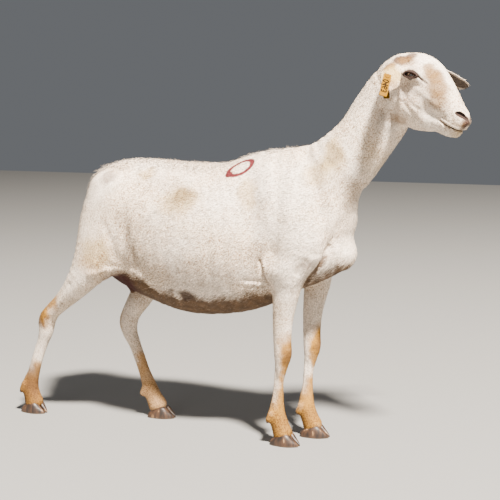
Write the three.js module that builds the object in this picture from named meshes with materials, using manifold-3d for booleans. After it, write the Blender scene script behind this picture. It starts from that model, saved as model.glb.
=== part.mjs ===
// A short-haired white ewe standing still, life size, as a museum would show her.
// Millimetres: +X towards her head, +Y to her left, +Z up, hooves on the floor at z = 0.
// Her body is one smooth field made of swept oval sections. Each named part is
// meshed from it, thinned, and parted from its neighbours by thin flat cuts.
import * as THREE from "three";
import { surfaceNet } from "three/addons/libs/surfaceNet.js";
import { MeshoptSimplifier } from "three/addons/libs/meshopt_simplifier.module.js";
import { mergeVertices } from "three/addons/utils/BufferGeometryUtils.js";
import Module from "manifold-3d";

// ---- driving dimensions ----
const CUT = 0.3; // gap left between neighbouring parts
const ATLAS = [375, 0, 850]; // where the head turns on the neck
const HEAD_YAW = THREE.MathUtils.degToRad(18); // turned to her right
const HEAD_PITCH = THREE.MathUtils.degToRad(22); // mouth line below level
const EYE = { u: 104, w: 47, v: 74, r: 14.5 }; // eyeball, in the head's own frame
const CLAW = { length: 66, width: 23, toe: 33, heel: 17, spread: 13 };
const DEWCLAW = { r: 7, length: 17, spread: 14 };
const TAG = {
  front: { width: 16, length: 64, above: 7 },
  back: { width: 14, length: 43, above: 5 },
  thick: 1.8,
  stud: 2.6, // radius of the stud through the ear
  boss: 5.5, // radius of its head on the front half
  lift: { front: 9, back: 9.5 }, // from the middle of the ear to each half
};
const NEAR = -1; // her right side
const FAR = 1; // her left side

// ---- the field: swept oval sections ----
const dot = (a, b) => a[0] * b[0] + a[1] * b[1] + a[2] * b[2];
const minus = (a, b) => [a[0] - b[0], a[1] - b[1], a[2] - b[2]];
const cross = (a, b) => [
  a[1] * b[2] - a[2] * b[1],
  a[2] * b[0] - a[0] * b[2],
  a[0] * b[1] - a[1] * b[0],
];
const unit = (a) => {
  const n = Math.hypot(...a);
  return [a[0] / n, a[1] / n, a[2] / n];
};

// Stations run through a smooth curve, so that few of them give a rounded outline.
function smoothed(stations, steps) {
  const out = [];
  const at = (i) => stations[Math.min(Math.max(i, 0), stations.length - 1)];
  for (let i = 0; i < stations.length - 1; i++)
    for (let k = 0; k < steps; k++) {
      const t = k / steps;
      const w = [
        -0.5 * t + t * t - 0.5 * t ** 3,
        1 - 2.5 * t * t + 1.5 * t ** 3,
        0.5 * t + 2 * t * t - 1.5 * t ** 3,
        -0.5 * t * t + 0.5 * t ** 3,
      ];
      out.push(
        stations[i].map((_, j) =>
          w.reduce((sum, wk, n) => sum + wk * at(i - 1 + n)[j], 0),
        ),
      );
    }
  out.push(stations[stations.length - 1]);
  return out;
}

// A station is [x, y, z, above, below, side]: a point of the path, then how far the
// section reaches above, below and to each side of it. On a path that runs down a
// leg, above is the front. `side` is the direction of the section's width.
function sweep(stations, { side = [0, 1, 0], steps = 3, cup = 0 } = {}) {
  const s = smoothed(stations, steps);
  const segments = [];
  const low = [Infinity, Infinity, Infinity];
  const high = [-Infinity, -Infinity, -Infinity];
  for (let i = 0; i < s.length - 1; i++) {
    const along = minus(s[i + 1], s[i]);
    const length = Math.hypot(...along);
    const t = unit(along);
    const k = dot(side, t);
    const b = unit([side[0] - k * t[0], side[1] - k * t[1], side[2] - k * t[2]]);
    segments.push({ a: s[i], z: s[i + 1], t, b, n: cross(t, b), length });
  }
  for (const p of s) {
    const reach = Math.max(p[3], p[4], p[5]) + 45;
    for (let j = 0; j < 3; j++) {
      low[j] = Math.min(low[j], p[j] - reach);
      high[j] = Math.max(high[j], p[j] + reach);
    }
  }
  return (x, y, z) => {
    if (x < low[0] || x > high[0] || y < low[1] || y > high[1] || z < low[2] || z > high[2])
      return 60;
    let best = 1e9;
    for (const g of segments) {
      const d = [x - g.a[0], y - g.a[1], z - g.a[2]];
      const raw = dot(d, g.t);
      const t = Math.min(Math.max(raw / g.length, 0), 1);
      const up = g.a[3] + t * (g.z[3] - g.a[3]);
      const down = g.a[4] + t * (g.z[4] - g.a[4]);
      const wide = g.a[5] + t * (g.z[5] - g.a[5]);
      const db = dot(d, g.b);
      const dn = dot(d, g.n) - (cup * db * db) / wide;
      const dt = raw - t * g.length;
      const rn = dn > 0 ? up : down;
      const rt = Math.min(0.5 * (up + down), wide);
      const q = [dt / rt, dn / rn, db / wide];
      const rho = Math.hypot(...q);
      const slope = Math.hypot(q[0] / rt, q[1] / rn, q[2] / wide);
      const f = slope < 1e-9 ? -Math.min(rn, wide) : (rho * (rho - 1)) / slope;
      if (f < best) best = f;
    }
    return best;
  };
}

// Two fields joined with a fillet of about k millimetres.
function blended(a, b, k) {
  const h = Math.max(k - Math.abs(a - b), 0) / k;
  return Math.min(a, b) - (h * h * k) / 4;
}

const mirrored = (stations, sign) => stations.map((p) => [p[0], p[1] * sign, ...p.slice(2)]);

// ---- trunk, brisket, shoulders and udder ----
const trunkField = sweep([
  [-342, 0, 588, 58, 60, 44],
  [-322, 0, 578, 88, 118, 80],
  [-290, 0, 560, 119, 172, 106],
  [-225, 0, 535, 146, 196, 124],
  [-150, 0, 510, 165, 199, 145],
  [-80, 0, 496, 177, 201, 156],
  [0, 0, 496, 178, 192, 151],
  [60, 0, 506, 182, 180, 134],
  [110, 0, 522, 183, 167, 117],
  [170, 0, 540, 174, 160, 106],
  [214, 0, 540, 146, 144, 94],
  [238, 0, 520, 84, 96, 68],
]);
const brisketField = sweep([
  [180, 0, 464, 60, 62, 74],
  [234, 0, 460, 54, 56, 65],
  [276, 0, 467, 45, 47, 52],
]);
const SHOULDER = [
  [125, 48, 662, 26, 30, 16],
  [152, 74, 600, 52, 54, 28],
  [188, 84, 530, 64, 64, 32],
  [206, 84, 480, 56, 60, 33],
  [178, 82, 430, 44, 46, 30],
];
const udderField = sweep(
  [
    [-332, 0, 402, 30, 28, 42],
    [-292, 0, 396, 34, 40, 54],
    [-250, 0, 396, 30, 30, 44],
  ],
  { steps: 2 },
);
const TEAT = [
  [-272, 30, 362, 12, 12, 12],
  [-264, 40, 344, 6, 6, 6],
];
const tailField = sweep([
  [-338, 0, 630, 18, 20, 24],
  [-362, 0, 626, 18, 18, 23],
  [-378, 0, 606, 15, 16, 20],
  [-384, 0, 580, 9, 10, 13],
]);

// ---- legs: [x, y, z, front, back, side] from the top down, on her left ----
const FORELEG = [
  [172, 82, 430, 44, 44, 30],
  [177, 77, 390, 37, 37, 28],
  [171, 72, 350, 30, 31, 25],
  [164, 67, 305, 25, 26, 21],
  [161, 63, 260, 23, 23, 20],
  [161, 60, 225, 23, 22, 21],
  [157, 58, 196, 17, 17, 17],
  [150, 56, 160, 12.5, 13, 13],
  [147, 54, 122, 13.5, 14, 13],
  [144, 52, 92, 17, 19, 17],
  [145, 51, 68, 20, 24, 20],
  [152, 50, 46, 20, 22, 20],
  [158, 50, 30, 20, 24, 19],
];
const FORE_STEP = { x: 39, lean: 0.055 }; // how far her left fore hoof stands ahead, less at the top
const HIND_BACK = [
  [-300, 68, 605, 78, 60, 48],
  [-306, 80, 525, 93, 80, 46],
  [-322, 86, 455, 78, 76, 43],
  [-358, 86, 397, 42, 58, 38],
  [-405, 82, 350, 31, 35, 31],
  [-448, 74, 313, 24, 25, 23],
  [-487, 67, 281, 21, 23, 19],
  [-507, 62, 254, 23, 27, 19],
  [-514, 59, 226, 20, 22, 18],
  [-526, 56, 198, 16, 17, 15],
  [-540, 54, 168, 15.5, 16, 14],
  [-553, 52, 136, 15.5, 16, 14],
  [-563, 50, 106, 16, 18, 15],
  [-572, 49, 82, 20, 23, 18],
  [-574, 48, 62, 21, 25, 20],
  [-570, 47, 44, 21, 23, 20],
  [-567, 46, 28, 22, 25, 19],
];
const HIND_FORWARD = [
  [-292, 70, 605, 80, 78, 50],
  [-290, 82, 525, 95, 105, 47],
  [-276, 90, 457, 80, 92, 43],
  [-266, 92, 402, 60, 60, 40],
  [-286, 86, 352, 40, 40, 33],
  [-309, 76, 306, 32, 33, 26],
  [-328, 67, 270, 26, 28, 21],
  [-335, 62, 242, 25, 28, 20],
  [-330, 60, 215, 21, 22, 18],
  [-315, 57, 186, 17, 17, 15],
  [-300, 54, 155, 16, 16, 14],
  [-286, 52, 123, 15.5, 16, 14],
  [-273, 51, 94, 17, 19, 16],
  [-263, 50, 70, 20, 24, 19],
  [-254, 50, 52, 21, 23, 20],
  [-244, 50, 34, 22, 24, 20],
];
const foreleg = (sign) =>
  mirrored(FORELEG, sign).map((p) =>
    sign === FAR ? [p[0] + FORE_STEP.x - FORE_STEP.lean * p[2], ...p.slice(1)] : p,
  );
const LEGS = {
  front_right: foreleg(NEAR),
  front_left: foreleg(FAR),
  hind_right: mirrored(HIND_BACK, NEAR),
  hind_left: HIND_FORWARD,
};
// Where each foot stands: x of the claws' middle, and the turn of the toe outwards.
const FEET = {
  front_right: { x: 162, y: -50, turn: -0.06 },
  front_left: { x: 199, y: 50, turn: 0.06 },
  hind_right: { x: -566, y: -46, turn: -0.1 },
  hind_left: { x: -232, y: 50, turn: 0.1 },
};

// ---- neck ----
const neckField = sweep([
  [165, 0, 560, 110, 88, 84],
  [235, 0, 615, 110, 64, 74],
  [288, 0, 678, 82, 78, 63],
  [333, 0, 738, 65, 77, 54],
  [368, -2, 800, 58, 84, 48],
  [400, -8, 852, 50, 76, 45],
  [424, -17, 886, 32, 52, 40],
]);

// ---- head, in its own frame: x forward along the mouth line, y left, z up ----
const skullField = sweep([
  [26, 0, 58, 22, 34, 34],
  [55, 0, 61, 43, 46, 46],
  [85, 0, 60, 57, 50, 51],
  [110, 0, 56, 59, 46, 49],
  [135, 0, 51, 52, 42, 43],
  [160, 0, 44, 44, 38, 37],
  [185, 0, 36, 35, 31, 32],
  [208, 0, 28, 27, 26, 28],
  [226, 0, 24, 21, 21, 25],
  [237, 0, 22, 14, 17, 18],
]);
const jawField = sweep([
  [88, 0, 8, 40, 36, 40],
  [120, 0, 0, 30, 33, 38],
  [155, 0, -5, 22, 27, 30],
  [185, 0, -8, 18, 20, 24],
  [210, 0, -9, 15, 18, 20],
  [228, 0, -9, 10, 13, 15],
]);
const throatField = sweep([
  [58, 0, 2, 30, 40, 36],
  [92, 0, -10, 30, 36, 33],
  [124, 0, -19, 24, 27, 27],
  [150, 0, -18, 18, 17, 20],
]);
const CHEEK = [
  [98, 30, 22, 34, 36, 19],
  [128, 29, 12, 28, 30, 16],
];
const ORBIT = [
  [90, 42, 72, 15, 15, 14],
  [108, 43, 77, 18, 17, 16],
  [122, 38, 72, 12, 13, 12],
];
const LIP = [
  [218, 12, 14, 13, 14, 13],
  [233, 9, 14, 12, 13, 12],
];
const EAR_ROOT = [
  [50, 40, 84, 16, 18, 14],
  [72, 62, 74, 11, 11, 12],
];
// The ears' midlines. Her left ear is held a little higher, her right one bends down
// towards its tip, where the tag hangs. `EAR_ACROSS` is the way each is widest.
const EAR_LEFT = [
  [60, 50, 84, 8, 8, 13],
  [76, 70, 80, 5, 5, 18],
  [96, 94, 75, 3.4, 3.4, 24],
  [114, 114, 68, 3, 3, 24],
  [128, 129, 64, 2.8, 2.8, 18],
  [135, 137, 61, 2.6, 2.6, 10],
];
const EAR_RIGHT = [
  [48, -48, 82, 8, 8, 13],
  [58, -66, 77, 5, 5, 18],
  [72, -86, 71, 3.4, 3.4, 24],
  [87, -103, 62, 3, 3, 24],
  [99, -113, 52, 2.8, 2.8, 20],
  [106, -118, 44, 2.6, 2.6, 11],
];
const EAR_ACROSS = { left: [0.62, -0.3, 0.72], right: [0.77, 0.56, 0.31] };
const EAR_CUP = 0.34;

const pair = (stations) => [FAR, NEAR].map((sign) => sweep(mirrored(stations, sign)));
const cheeks = pair(CHEEK);
const orbits = pair(ORBIT);
const lips = pair(LIP);
const earRoots = pair(EAR_ROOT);
const earLeft = sweep(EAR_LEFT, { side: EAR_ACROSS.left, cup: EAR_CUP });
const earRight = sweep(EAR_RIGHT, { side: EAR_ACROSS.right, cup: -EAR_CUP });
const shoulders = pair(SHOULDER);
const teats = pair(TEAT);

const headMatrix = new THREE.Matrix4()
  .makeRotationZ(-HEAD_YAW)
  .multiply(new THREE.Matrix4().makeRotationY(HEAD_PITCH))
  .setPosition(...ATLAS);
const toHead = headMatrix.clone().invert().elements;
const inHead = (x, y, z) =>
  [0, 1, 2].map((i) => toHead[i] * x + toHead[4 + i] * y + toHead[8 + i] * z + toHead[12 + i]);

function headField(x, y, z) {
  const h = inHead(x, y, z);
  let f = blended(skullField(...h), jawField(...h), 22);
  f = blended(f, throatField(...h), 20);
  for (const cheek of cheeks) f = blended(f, cheek(...h), 14);
  for (const orbit of orbits) f = blended(f, orbit(...h), 10);
  for (const lip of lips) f = blended(f, lip(...h), 8);
  for (const root of earRoots) f = blended(f, root(...h), 14);
  return f;
}
const earField = (ear) => (x, y, z) => ear(...inHead(x, y, z));

const legFields = Object.fromEntries(Object.entries(LEGS).map(([k, s]) => [k, sweep(s)]));

// ---- the whole body ----
function body(x, y, z) {
  let f = blended(trunkField(x, y, z), brisketField(x, y, z), 24);
  for (const shoulder of shoulders) f = blended(f, shoulder(x, y, z), 30);
  f = blended(f, neckField(x, y, z), 34);
  f = blended(f, headField(x, y, z), 20);
  f = blended(f, tailField(x, y, z), 16);
  for (const leg of Object.values(legFields)) f = blended(f, leg(x, y, z), 26);
  return f;
}
function withUdder(x, y, z) {
  let f = udderField(x, y, z);
  for (const teat of teats) f = blended(f, teat(x, y, z), 10);
  return f;
}

// ---- from fields to solids ----
const wasm = await Module();
wasm.setup();
await MeshoptSimplifier.ready;

// A point of the mesh moved onto the surface itself, along the field's slope.
function settled(field, point) {
  const [x, y, z] = point;
  const f = field(x, y, z);
  const step = 0.5;
  const slope = [
    (field(x + step, y, z) - f) / step,
    (field(x, y + step, z) - f) / step,
    (field(x, y, z + step) - f) / step,
  ];
  const size = dot(slope, slope);
  if (size < 0.05 || Math.abs(f) > 6) return point;
  return point.map((c, i) => c - (f * slope[i]) / size);
}

// A field inside a box, sampled every `cell` mm, meshed and thinned to about `triangles`.
function meshed(field, low, high, cell, triangles) {
  const dims = low.map((l, i) => Math.ceil((high[i] - l) / cell) + 3);
  const samples = new Float32Array(dims[0] * dims[1] * dims[2]);
  const index = (i, j, k) => i + dims[0] * (j + dims[1] * k);
  const place = (i, a) => low[a] + (i - 1) * cell;
  for (let k = 0; k < dims[2]; k++)
    for (let j = 0; j < dims[1]; j++)
      for (let i = 0; i < dims[0]; i++) {
        const edge = [i, j, k].some((n, a) => n === 0 || n === dims[a] - 1);
        samples[index(i, j, k)] = edge
          ? cell
          : field(place(i, 0), place(j, 1), place(k, 2));
      }
  const net = surfaceNet(dims, (i, j, k) => samples[index(i, j, k)]);
  const positions = new Float32Array(net.positions.flatMap((p) => settled(field, p.map(place))));
  const indices = new Uint32Array(net.cells.flat());
  const target = Math.min(triangles * 3, indices.length);
  const [kept] = MeshoptSimplifier.simplify(indices, positions, 3, target, 1, ["Regularize"]);
  const [remap, count] = MeshoptSimplifier.compactMesh(kept);
  const vertices = new Float32Array(count * 3);
  remap.forEach((to, from) => {
    if (to < count) vertices.set(positions.subarray(from * 3, from * 3 + 3), to * 3);
  });
  return solidOf(vertices, kept);
}

function solidOf(vertProperties, triVerts) {
  const made = new wasm.Manifold(new wasm.Mesh({ numProp: 3, vertProperties, triVerts }));
  return made.volume() < 0
    ? new wasm.Manifold(
        new wasm.Mesh({ numProp: 3, vertProperties, triVerts: triVerts.slice().reverse() }),
      )
    : made;
}

function solidFromGeometry(geometry, matrix = new THREE.Matrix4()) {
  const g = geometry.clone().applyMatrix4(matrix);
  g.deleteAttribute("normal");
  g.deleteAttribute("uv");
  const merged = mergeVertices(g, 1e-3);
  return solidOf(
    new Float32Array(merged.attributes.position.array),
    new Uint32Array(merged.index.array),
  );
}

function geometryOf(solid) {
  const m = solid.getMesh();
  const v = new Float32Array(m.numVert * 3);
  for (let i = 0; i < m.numVert; i++)
    v.set(m.vertProperties.subarray(i * m.numProp, i * m.numProp + 3), i * 3);
  const g = new THREE.BufferGeometry();
  g.setAttribute("position", new THREE.BufferAttribute(v, 3));
  g.setIndex(new THREE.BufferAttribute(new Uint32Array(m.triVerts), 1));
  g.computeVertexNormals();
  return g;
}

const largest = (solid) =>
  solid.decompose().reduce((a, b) => (b.volume() > a.volume() ? b : a));

// ---- cutting planes: everything on the far side of a plane, as a large block ----
const REACH = 3000;
function beyond(point, normal, shift = 0) {
  const n = new THREE.Vector3(...normal).normalize();
  const turn = new THREE.Quaternion().setFromUnitVectors(new THREE.Vector3(0, 0, 1), n);
  const centre = new THREE.Vector3(...point).addScaledVector(n, REACH / 2 + shift);
  const block = new THREE.BoxGeometry(REACH, REACH, REACH);
  return solidFromGeometry(
    block,
    new THREE.Matrix4().compose(centre, turn, new THREE.Vector3(1, 1, 1)),
  );
}

const HEAD_CUT = { point: [400, 0, 815], normal: [0.86, -0.2, 0.35] };
const NECK_CUT = { point: [262, 0, 655], normal: [0.72, 0, 0.69] };
const TAIL_CUT = { point: [-379, 0, 620], normal: [-0.97, 0, 0.24] };
// A leg is what lies below `top`, outside of `inside`, and either on its own side of
// `belly` or lower than `under`. Each plane is a point and a direction.
const LEG_CUTS = {
  front_right: {
    top: [[170, -80, 410], [0, -0.42, -1]],
    inside: [[170, -34, 380], [0, -0.9, -0.45]],
    belly: [[126, -80, 400], [1, 0, -0.25]],
    under: 285,
  },
  front_left: {
    top: [[186, 80, 410], [0, 0.42, -1]],
    inside: [[186, 34, 380], [0, 0.9, -0.45]],
    belly: [[142, 80, 400], [1, 0, -0.25]],
    under: 285,
  },
  hind_right: {
    top: [[-330, -88, 428], [-0.4, -0.35, -1]],
    inside: [[-330, -28, 380], [0, -0.95, -0.3]],
    belly: [[-262, -88, 400], [-1, 0, 0.35]],
    under: 285,
  },
  hind_left: {
    top: [[-250, 88, 430], [-0.1, 0.35, -1]],
    inside: [[-250, 28, 380], [0, 0.95, -0.3]],
    belly: [[-172, 88, 420], [-0.75, 0, 0.66]],
    under: 285,
  },
};
const legRegion = ({ top, inside, belly, under }, shift) =>
  beyond(...top, shift)
    .intersect(beyond(...inside, shift))
    .intersect(beyond(...belly, shift).add(beyond([0, 0, under], [0, 0, -1], shift)));

// ---- claws ----
// One claw: sections from heel to toe, flat underneath, with an upright inner wall.
function clawGeometry(outer) {
  const { length, width, toe, heel } = CLAW;
  const sections = [
    [-0.5, 0.6, 0.7],
    [-0.36, 0.9, 1.05],
    [0.08, 1.0, toe / heel],
    [0.3, 0.74, 1.12],
    [0.44, 0.4, 0.55],
    [0.5, 0.16, 0.22],
  ];
  const ring = (x, w, h) => {
    const inner = -0.5 * outer * width * 0.92;
    const out = inner + outer * width * w;
    const top = heel * h;
    const lean = 0.2 * width * outer * Math.min(w, 0.8);
    return [
      [x, inner + 0.1 * outer * width, 0],
      [x, out - 0.04 * outer * width, 0],
      [x, out, 0.18 * top],
      [x, out - 0.4 * lean, 0.66 * top],
      [x, out - 1.7 * lean, top],
      [x, inner + 0.9 * lean, top],
      [x, inner, 0.7 * top],
      [x, inner, 0.2 * top],
    ];
  };
  const rings = sections.map(([x, w, h]) => ring(x * length, w, h));
  const n = rings[0].length;
  const v = rings.flat(2);
  const t = [];
  for (let i = 0; i < rings.length - 1; i++)
    for (let j = 0; j < n; j++) {
      const a = i * n + j;
      const b = i * n + ((j + 1) % n);
      t.push(a, b, a + n, b, b + n, a + n);
    }
  for (let j = 1; j < n - 1; j++) {
    const last = (rings.length - 1) * n;
    t.push(0, j + 1, j, last, last + j, last + j + 1);
  }
  const g = new THREE.BufferGeometry();
  g.setAttribute("position", new THREE.Float32BufferAttribute(v, 3));
  g.setIndex(outer > 0 ? t : t.slice().reverse());
  return g;
}

const group = new THREE.Group();
const material = (color, roughness) =>
  new THREE.MeshStandardMaterial({ color, roughness, metalness: 0 });
const COAT = material("#ece6dc", 0.9);
const LEG_COAT = material("#dcc3a4", 0.9);
const HORN = material("#6b5142", 0.45);
const UDDER = material("#b98674", 0.7);
const EYEBALL = material("#3a2415", 0.1);
const TAG_YELLOW = material("#f0b91c", 0.45);
function add(name, solid, look) {
  const mesh = new THREE.Mesh(geometryOf(solid), look);
  mesh.name = name;
  group.add(mesh);
}

// ---- feet first, because the legs are cut to sit on them ----
const footSolids = {};
for (const [leg, foot] of Object.entries(FEET)) {
  const place = new THREE.Matrix4()
    .makeRotationZ(foot.turn)
    .setPosition(foot.x, foot.y, 0);
  footSolids[leg] = [];
  for (const outer of [-1, 1]) {
    const shifted = place
      .clone()
      .multiply(new THREE.Matrix4().makeTranslation(0, outer * CLAW.spread, 0));
    const claw = solidFromGeometry(clawGeometry(outer), shifted);
    const name = outer * foot.y > 0 ? "outer" : "inner";
    footSolids[leg].push(claw);
    add(`hoof_${leg}_${name}`, claw, HORN);
  }
}

// A dewclaw is a blunt cone that points down and back behind the fetlock.
const DEWCLAW_HEIGHT = 58;
for (const [leg, foot] of Object.entries(FEET)) {
  const stations = LEGS[leg];
  const fetlock = stations.find((p) => p[2] < DEWCLAW_HEIGHT + 14);
  for (const outer of [-1, 1]) {
    const shape = new THREE.LatheGeometry(
      [
        new THREE.Vector2(0, -DEWCLAW.length / 2),
        new THREE.Vector2(DEWCLAW.r * 0.55, -DEWCLAW.length * 0.42),
        new THREE.Vector2(DEWCLAW.r, 0),
        new THREE.Vector2(DEWCLAW.r * 0.9, DEWCLAW.length / 2),
        new THREE.Vector2(0, DEWCLAW.length / 2),
      ],
      6,
    );
    const turn = new THREE.Quaternion().setFromUnitVectors(
      new THREE.Vector3(0, 1, 0),
      new THREE.Vector3(0.62, -0.12 * outer, 0.78).normalize(),
    );
    const centre = new THREE.Vector3(
      fetlock[0] - fetlock[4] - 1,
      fetlock[1] + outer * DEWCLAW.spread,
      DEWCLAW_HEIGHT,
    );
    const solid = solidFromGeometry(
      shape,
      new THREE.Matrix4().compose(centre, turn, new THREE.Vector3(1, 1, 1)),
    );
    const name = outer * foot.y > 0 ? "outer" : "inner";
    footSolids[leg].push(solid);
    add(`dewclaw_${leg}_${name}`, solid, HORN);
  }
}

// What is left of a solid once a neighbour, shifted a little each way, is taken off it.
function clearOf(solid, neighbour, gap = CUT) {
  let left = solid;
  for (const axis of [0, 1, 2])
    for (const sign of [-1, 1]) {
      const shift = [0, 0, 0];
      shift[axis] = sign * gap;
      left = left.subtract(solidFromGeometry(geometryOf(neighbour).translate(...shift)));
    }
  return left;
}

// ---- legs ----
const HALF = CUT / 2;
const legBox = {
  front_right: [[90, -135, 2], [240, -20, 480]],
  front_left: [[110, 20, 2], [270, 135, 480]],
  hind_right: [[-640, -160, 2], [-190, -16, 540]],
  hind_left: [[-440, 16, 2], [-150, 160, 520]],
};
const legSolids = {};
for (const [leg, cut] of Object.entries(LEG_CUTS)) {
  let solid = meshed(body, ...legBox[leg], 4, leg.startsWith("front") ? 780 : 940).intersect(
    legRegion(cut, HALF),
  );
  for (const foot of footSolids[leg]) solid = clearOf(solid, foot);
  legSolids[leg] = largest(solid);
  add(`leg_${leg}`, legSolids[leg], LEG_COAT);
}

// ---- head, eyes and ears ----
const headPoint = (u, w, v) => new THREE.Vector3(u, w, v).applyMatrix4(headMatrix);
const EAR_ROOT_AT = [66, 64, 78]; // where an ear is parted from the head
const earNormal = (sign) => new THREE.Vector3(0.5, 0.8 * sign, -0.2).transformDirection(headMatrix);
const earSolids = {};
let head = meshed(body, [330, -130, 720], [640, 110, 990], 3.4, 1600)
  .intersect(beyond(HEAD_CUT.point, HEAD_CUT.normal, HALF));
for (const sign of [FAR, NEAR]) {
  const name = sign === FAR ? "left" : "right";
  const ball = solidFromGeometry(
    new THREE.SphereGeometry(EYE.r, 12, 8),
    new THREE.Matrix4().setPosition(headPoint(EYE.u, sign * EYE.w, EYE.v)),
  );
  const socket = solidFromGeometry(
    new THREE.SphereGeometry(EYE.r + CUT + 0.6, 14, 10),
    new THREE.Matrix4().setPosition(headPoint(EYE.u, sign * EYE.w, EYE.v)),
  );
  const opening = solidFromGeometry(
    new THREE.SphereGeometry(1, 16, 10).scale(16, 12, 8),
    headMatrix.clone().multiply(new THREE.Matrix4().makeTranslation(EYE.u, sign * 64, EYE.v)),
  );
  head = head.subtract(socket).subtract(opening);
  add(`eye_${name}`, ball, EYEBALL);

  const [u, w, v] = EAR_ROOT_AT;
  const root = headPoint(u, sign * w, v).toArray();
  const out = earNormal(sign).toArray();
  const rootZone = solidFromGeometry(
    new THREE.SphereGeometry(27, 16, 12),
    new THREE.Matrix4().setPosition(...root),
  );
  head = head.subtract(beyond(root, out, -HALF).intersect(rootZone));
  const tip = headPoint(136, sign * 143, 46);
  const low = [0, 1, 2].map((i) => Math.min(root[i], tip.getComponent(i)) - 36);
  const high = [0, 1, 2].map((i) => Math.max(root[i], tip.getComponent(i)) + 36);
  const field = earField(sign === FAR ? earLeft : earRight);
  earSolids[name] = largest(
    meshed(field, low, high, 1.8, 260).intersect(beyond(root, out, HALF)),
  );
}
add("head", largest(head), COAT);

// ---- ear tag: two flat halves joined by a stud through her right ear ----
const TAG_ACROSS = new THREE.Vector3(0.885, 0.376, -0.275).normalize();
function tagFrame(down, at) {
  const length = new THREE.Vector3(...down).normalize();
  const face = new THREE.Vector3().crossVectors(length, TAG_ACROSS).normalize();
  const across = new THREE.Vector3().crossVectors(face, length);
  return new THREE.Matrix4().makeBasis(across, length, face).setPosition(at);
}
function tagHalf({ width, length, above }, frame, lift) {
  const corner = 3;
  const outline = new THREE.Shape();
  const x = width / 2;
  outline.moveTo(-x + corner, -above);
  outline.lineTo(x - corner, -above);
  outline.lineTo(x, -above + corner);
  outline.lineTo(x, length - above - corner);
  outline.lineTo(x - corner, length - above);
  outline.lineTo(-x + corner, length - above);
  outline.lineTo(-x, length - above - corner);
  outline.lineTo(-x, -above + corner);
  const plate = new THREE.ExtrudeGeometry(outline, { depth: TAG.thick, bevelEnabled: false });
  return solidFromGeometry(
    plate,
    frame.clone().multiply(new THREE.Matrix4().makeTranslation(0, 0, lift)),
  );
}
const disc = (radius, height, frame, lift) =>
  solidFromGeometry(
    new THREE.CylinderGeometry(radius, radius, height, 10).rotateX(Math.PI / 2),
    frame.clone().multiply(new THREE.Matrix4().makeTranslation(0, 0, lift)),
  );
const slab = (frame, lift) =>
  solidFromGeometry(
    new THREE.BoxGeometry(60, 60, 30),
    frame.clone().multiply(new THREE.Matrix4().makeTranslation(0, 0, lift)),
  );
// The point midway through the ear, on a line square to the tag's front half.
const nearTag = headPoint(85, -110.5, 57);
const facing = tagFrame([0.05, -0.665, -0.745], nearTag);
const throughEar = Array.from({ length: 49 }, (_, i) =>
  new THREE.Vector3(0, 0, i / 2 - 12).applyMatrix4(facing),
);
const depthInEar = (p) => earField(earRight)(p.x, p.y, p.z);
const tagAt = throughEar.reduce((a, b) => (depthInEar(b) < depthInEar(a) ? b : a));
const frontFrame = tagFrame([0.05, -0.665, -0.745], tagAt);
const backFrame = tagFrame([0.21, -0.345, -0.914], tagAt);
const tagFront = tagHalf(TAG.front, frontFrame, TAG.lift.front).add(
  disc(TAG.boss, 2.4, frontFrame, TAG.lift.front + TAG.thick + 0.6),
);
const tagBack = tagHalf(TAG.back, backFrame, -TAG.lift.back - TAG.thick);
const shaft = disc(TAG.stud, 40, frontFrame, 0);
const stud = shaft
  .subtract(slab(frontFrame, TAG.lift.front - CUT + 15))
  .subtract(slab(backFrame, CUT - TAG.lift.back - 15));
add("tag_front", tagFront, TAG_YELLOW);
add("tag_back", tagBack, TAG_YELLOW);
add("tag_stud", stud, TAG_YELLOW);
earSolids.right = clearOf(earSolids.right, shaft);
for (const name of ["left", "right"]) add(`ear_${name}`, earSolids[name], COAT);

// ---- neck and trunk ----
const neck = meshed(body, [100, -130, 500], [470, 120, 980], 7, 800)
  .subtract(beyond(HEAD_CUT.point, HEAD_CUT.normal, -HALF))
  .intersect(beyond(NECK_CUT.point, NECK_CUT.normal, HALF));
add("neck", largest(neck), COAT);

const tail = meshed(body, [-440, -60, 560], [-330, 60, 690], 4, 150).intersect(
  beyond(TAIL_CUT.point, TAIL_CUT.normal, HALF),
);
add("tail", largest(tail), COAT);

let trunk = meshed(body, [-460, -190, 270], [360, 190, 780], 9, 2000)
  .subtract(beyond(NECK_CUT.point, NECK_CUT.normal, -HALF))
  .subtract(beyond(TAIL_CUT.point, TAIL_CUT.normal, -HALF));
for (const cut of Object.values(LEG_CUTS)) trunk = trunk.subtract(legRegion(cut, -HALF));
trunk = largest(trunk);
add("trunk", trunk, COAT);

let udder = meshed(withUdder, [-390, -110, 300], [-190, 110, 450], 6, 260);
for (const neighbour of [trunk, legSolids.hind_right, legSolids.hind_left])
  udder = clearOf(udder, neighbour);
add("udder", largest(udder), UDDER);

// The origin is on the floor, under the middle of the whole animal.
const middle = new THREE.Box3().setFromObject(group).getCenter(new THREE.Vector3());
group.position.set(-middle.x, -middle.y, 0);

export default group;
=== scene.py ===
import math

import bmesh
import bpy
import numpy as np
from mathutils import Matrix, Vector


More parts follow.
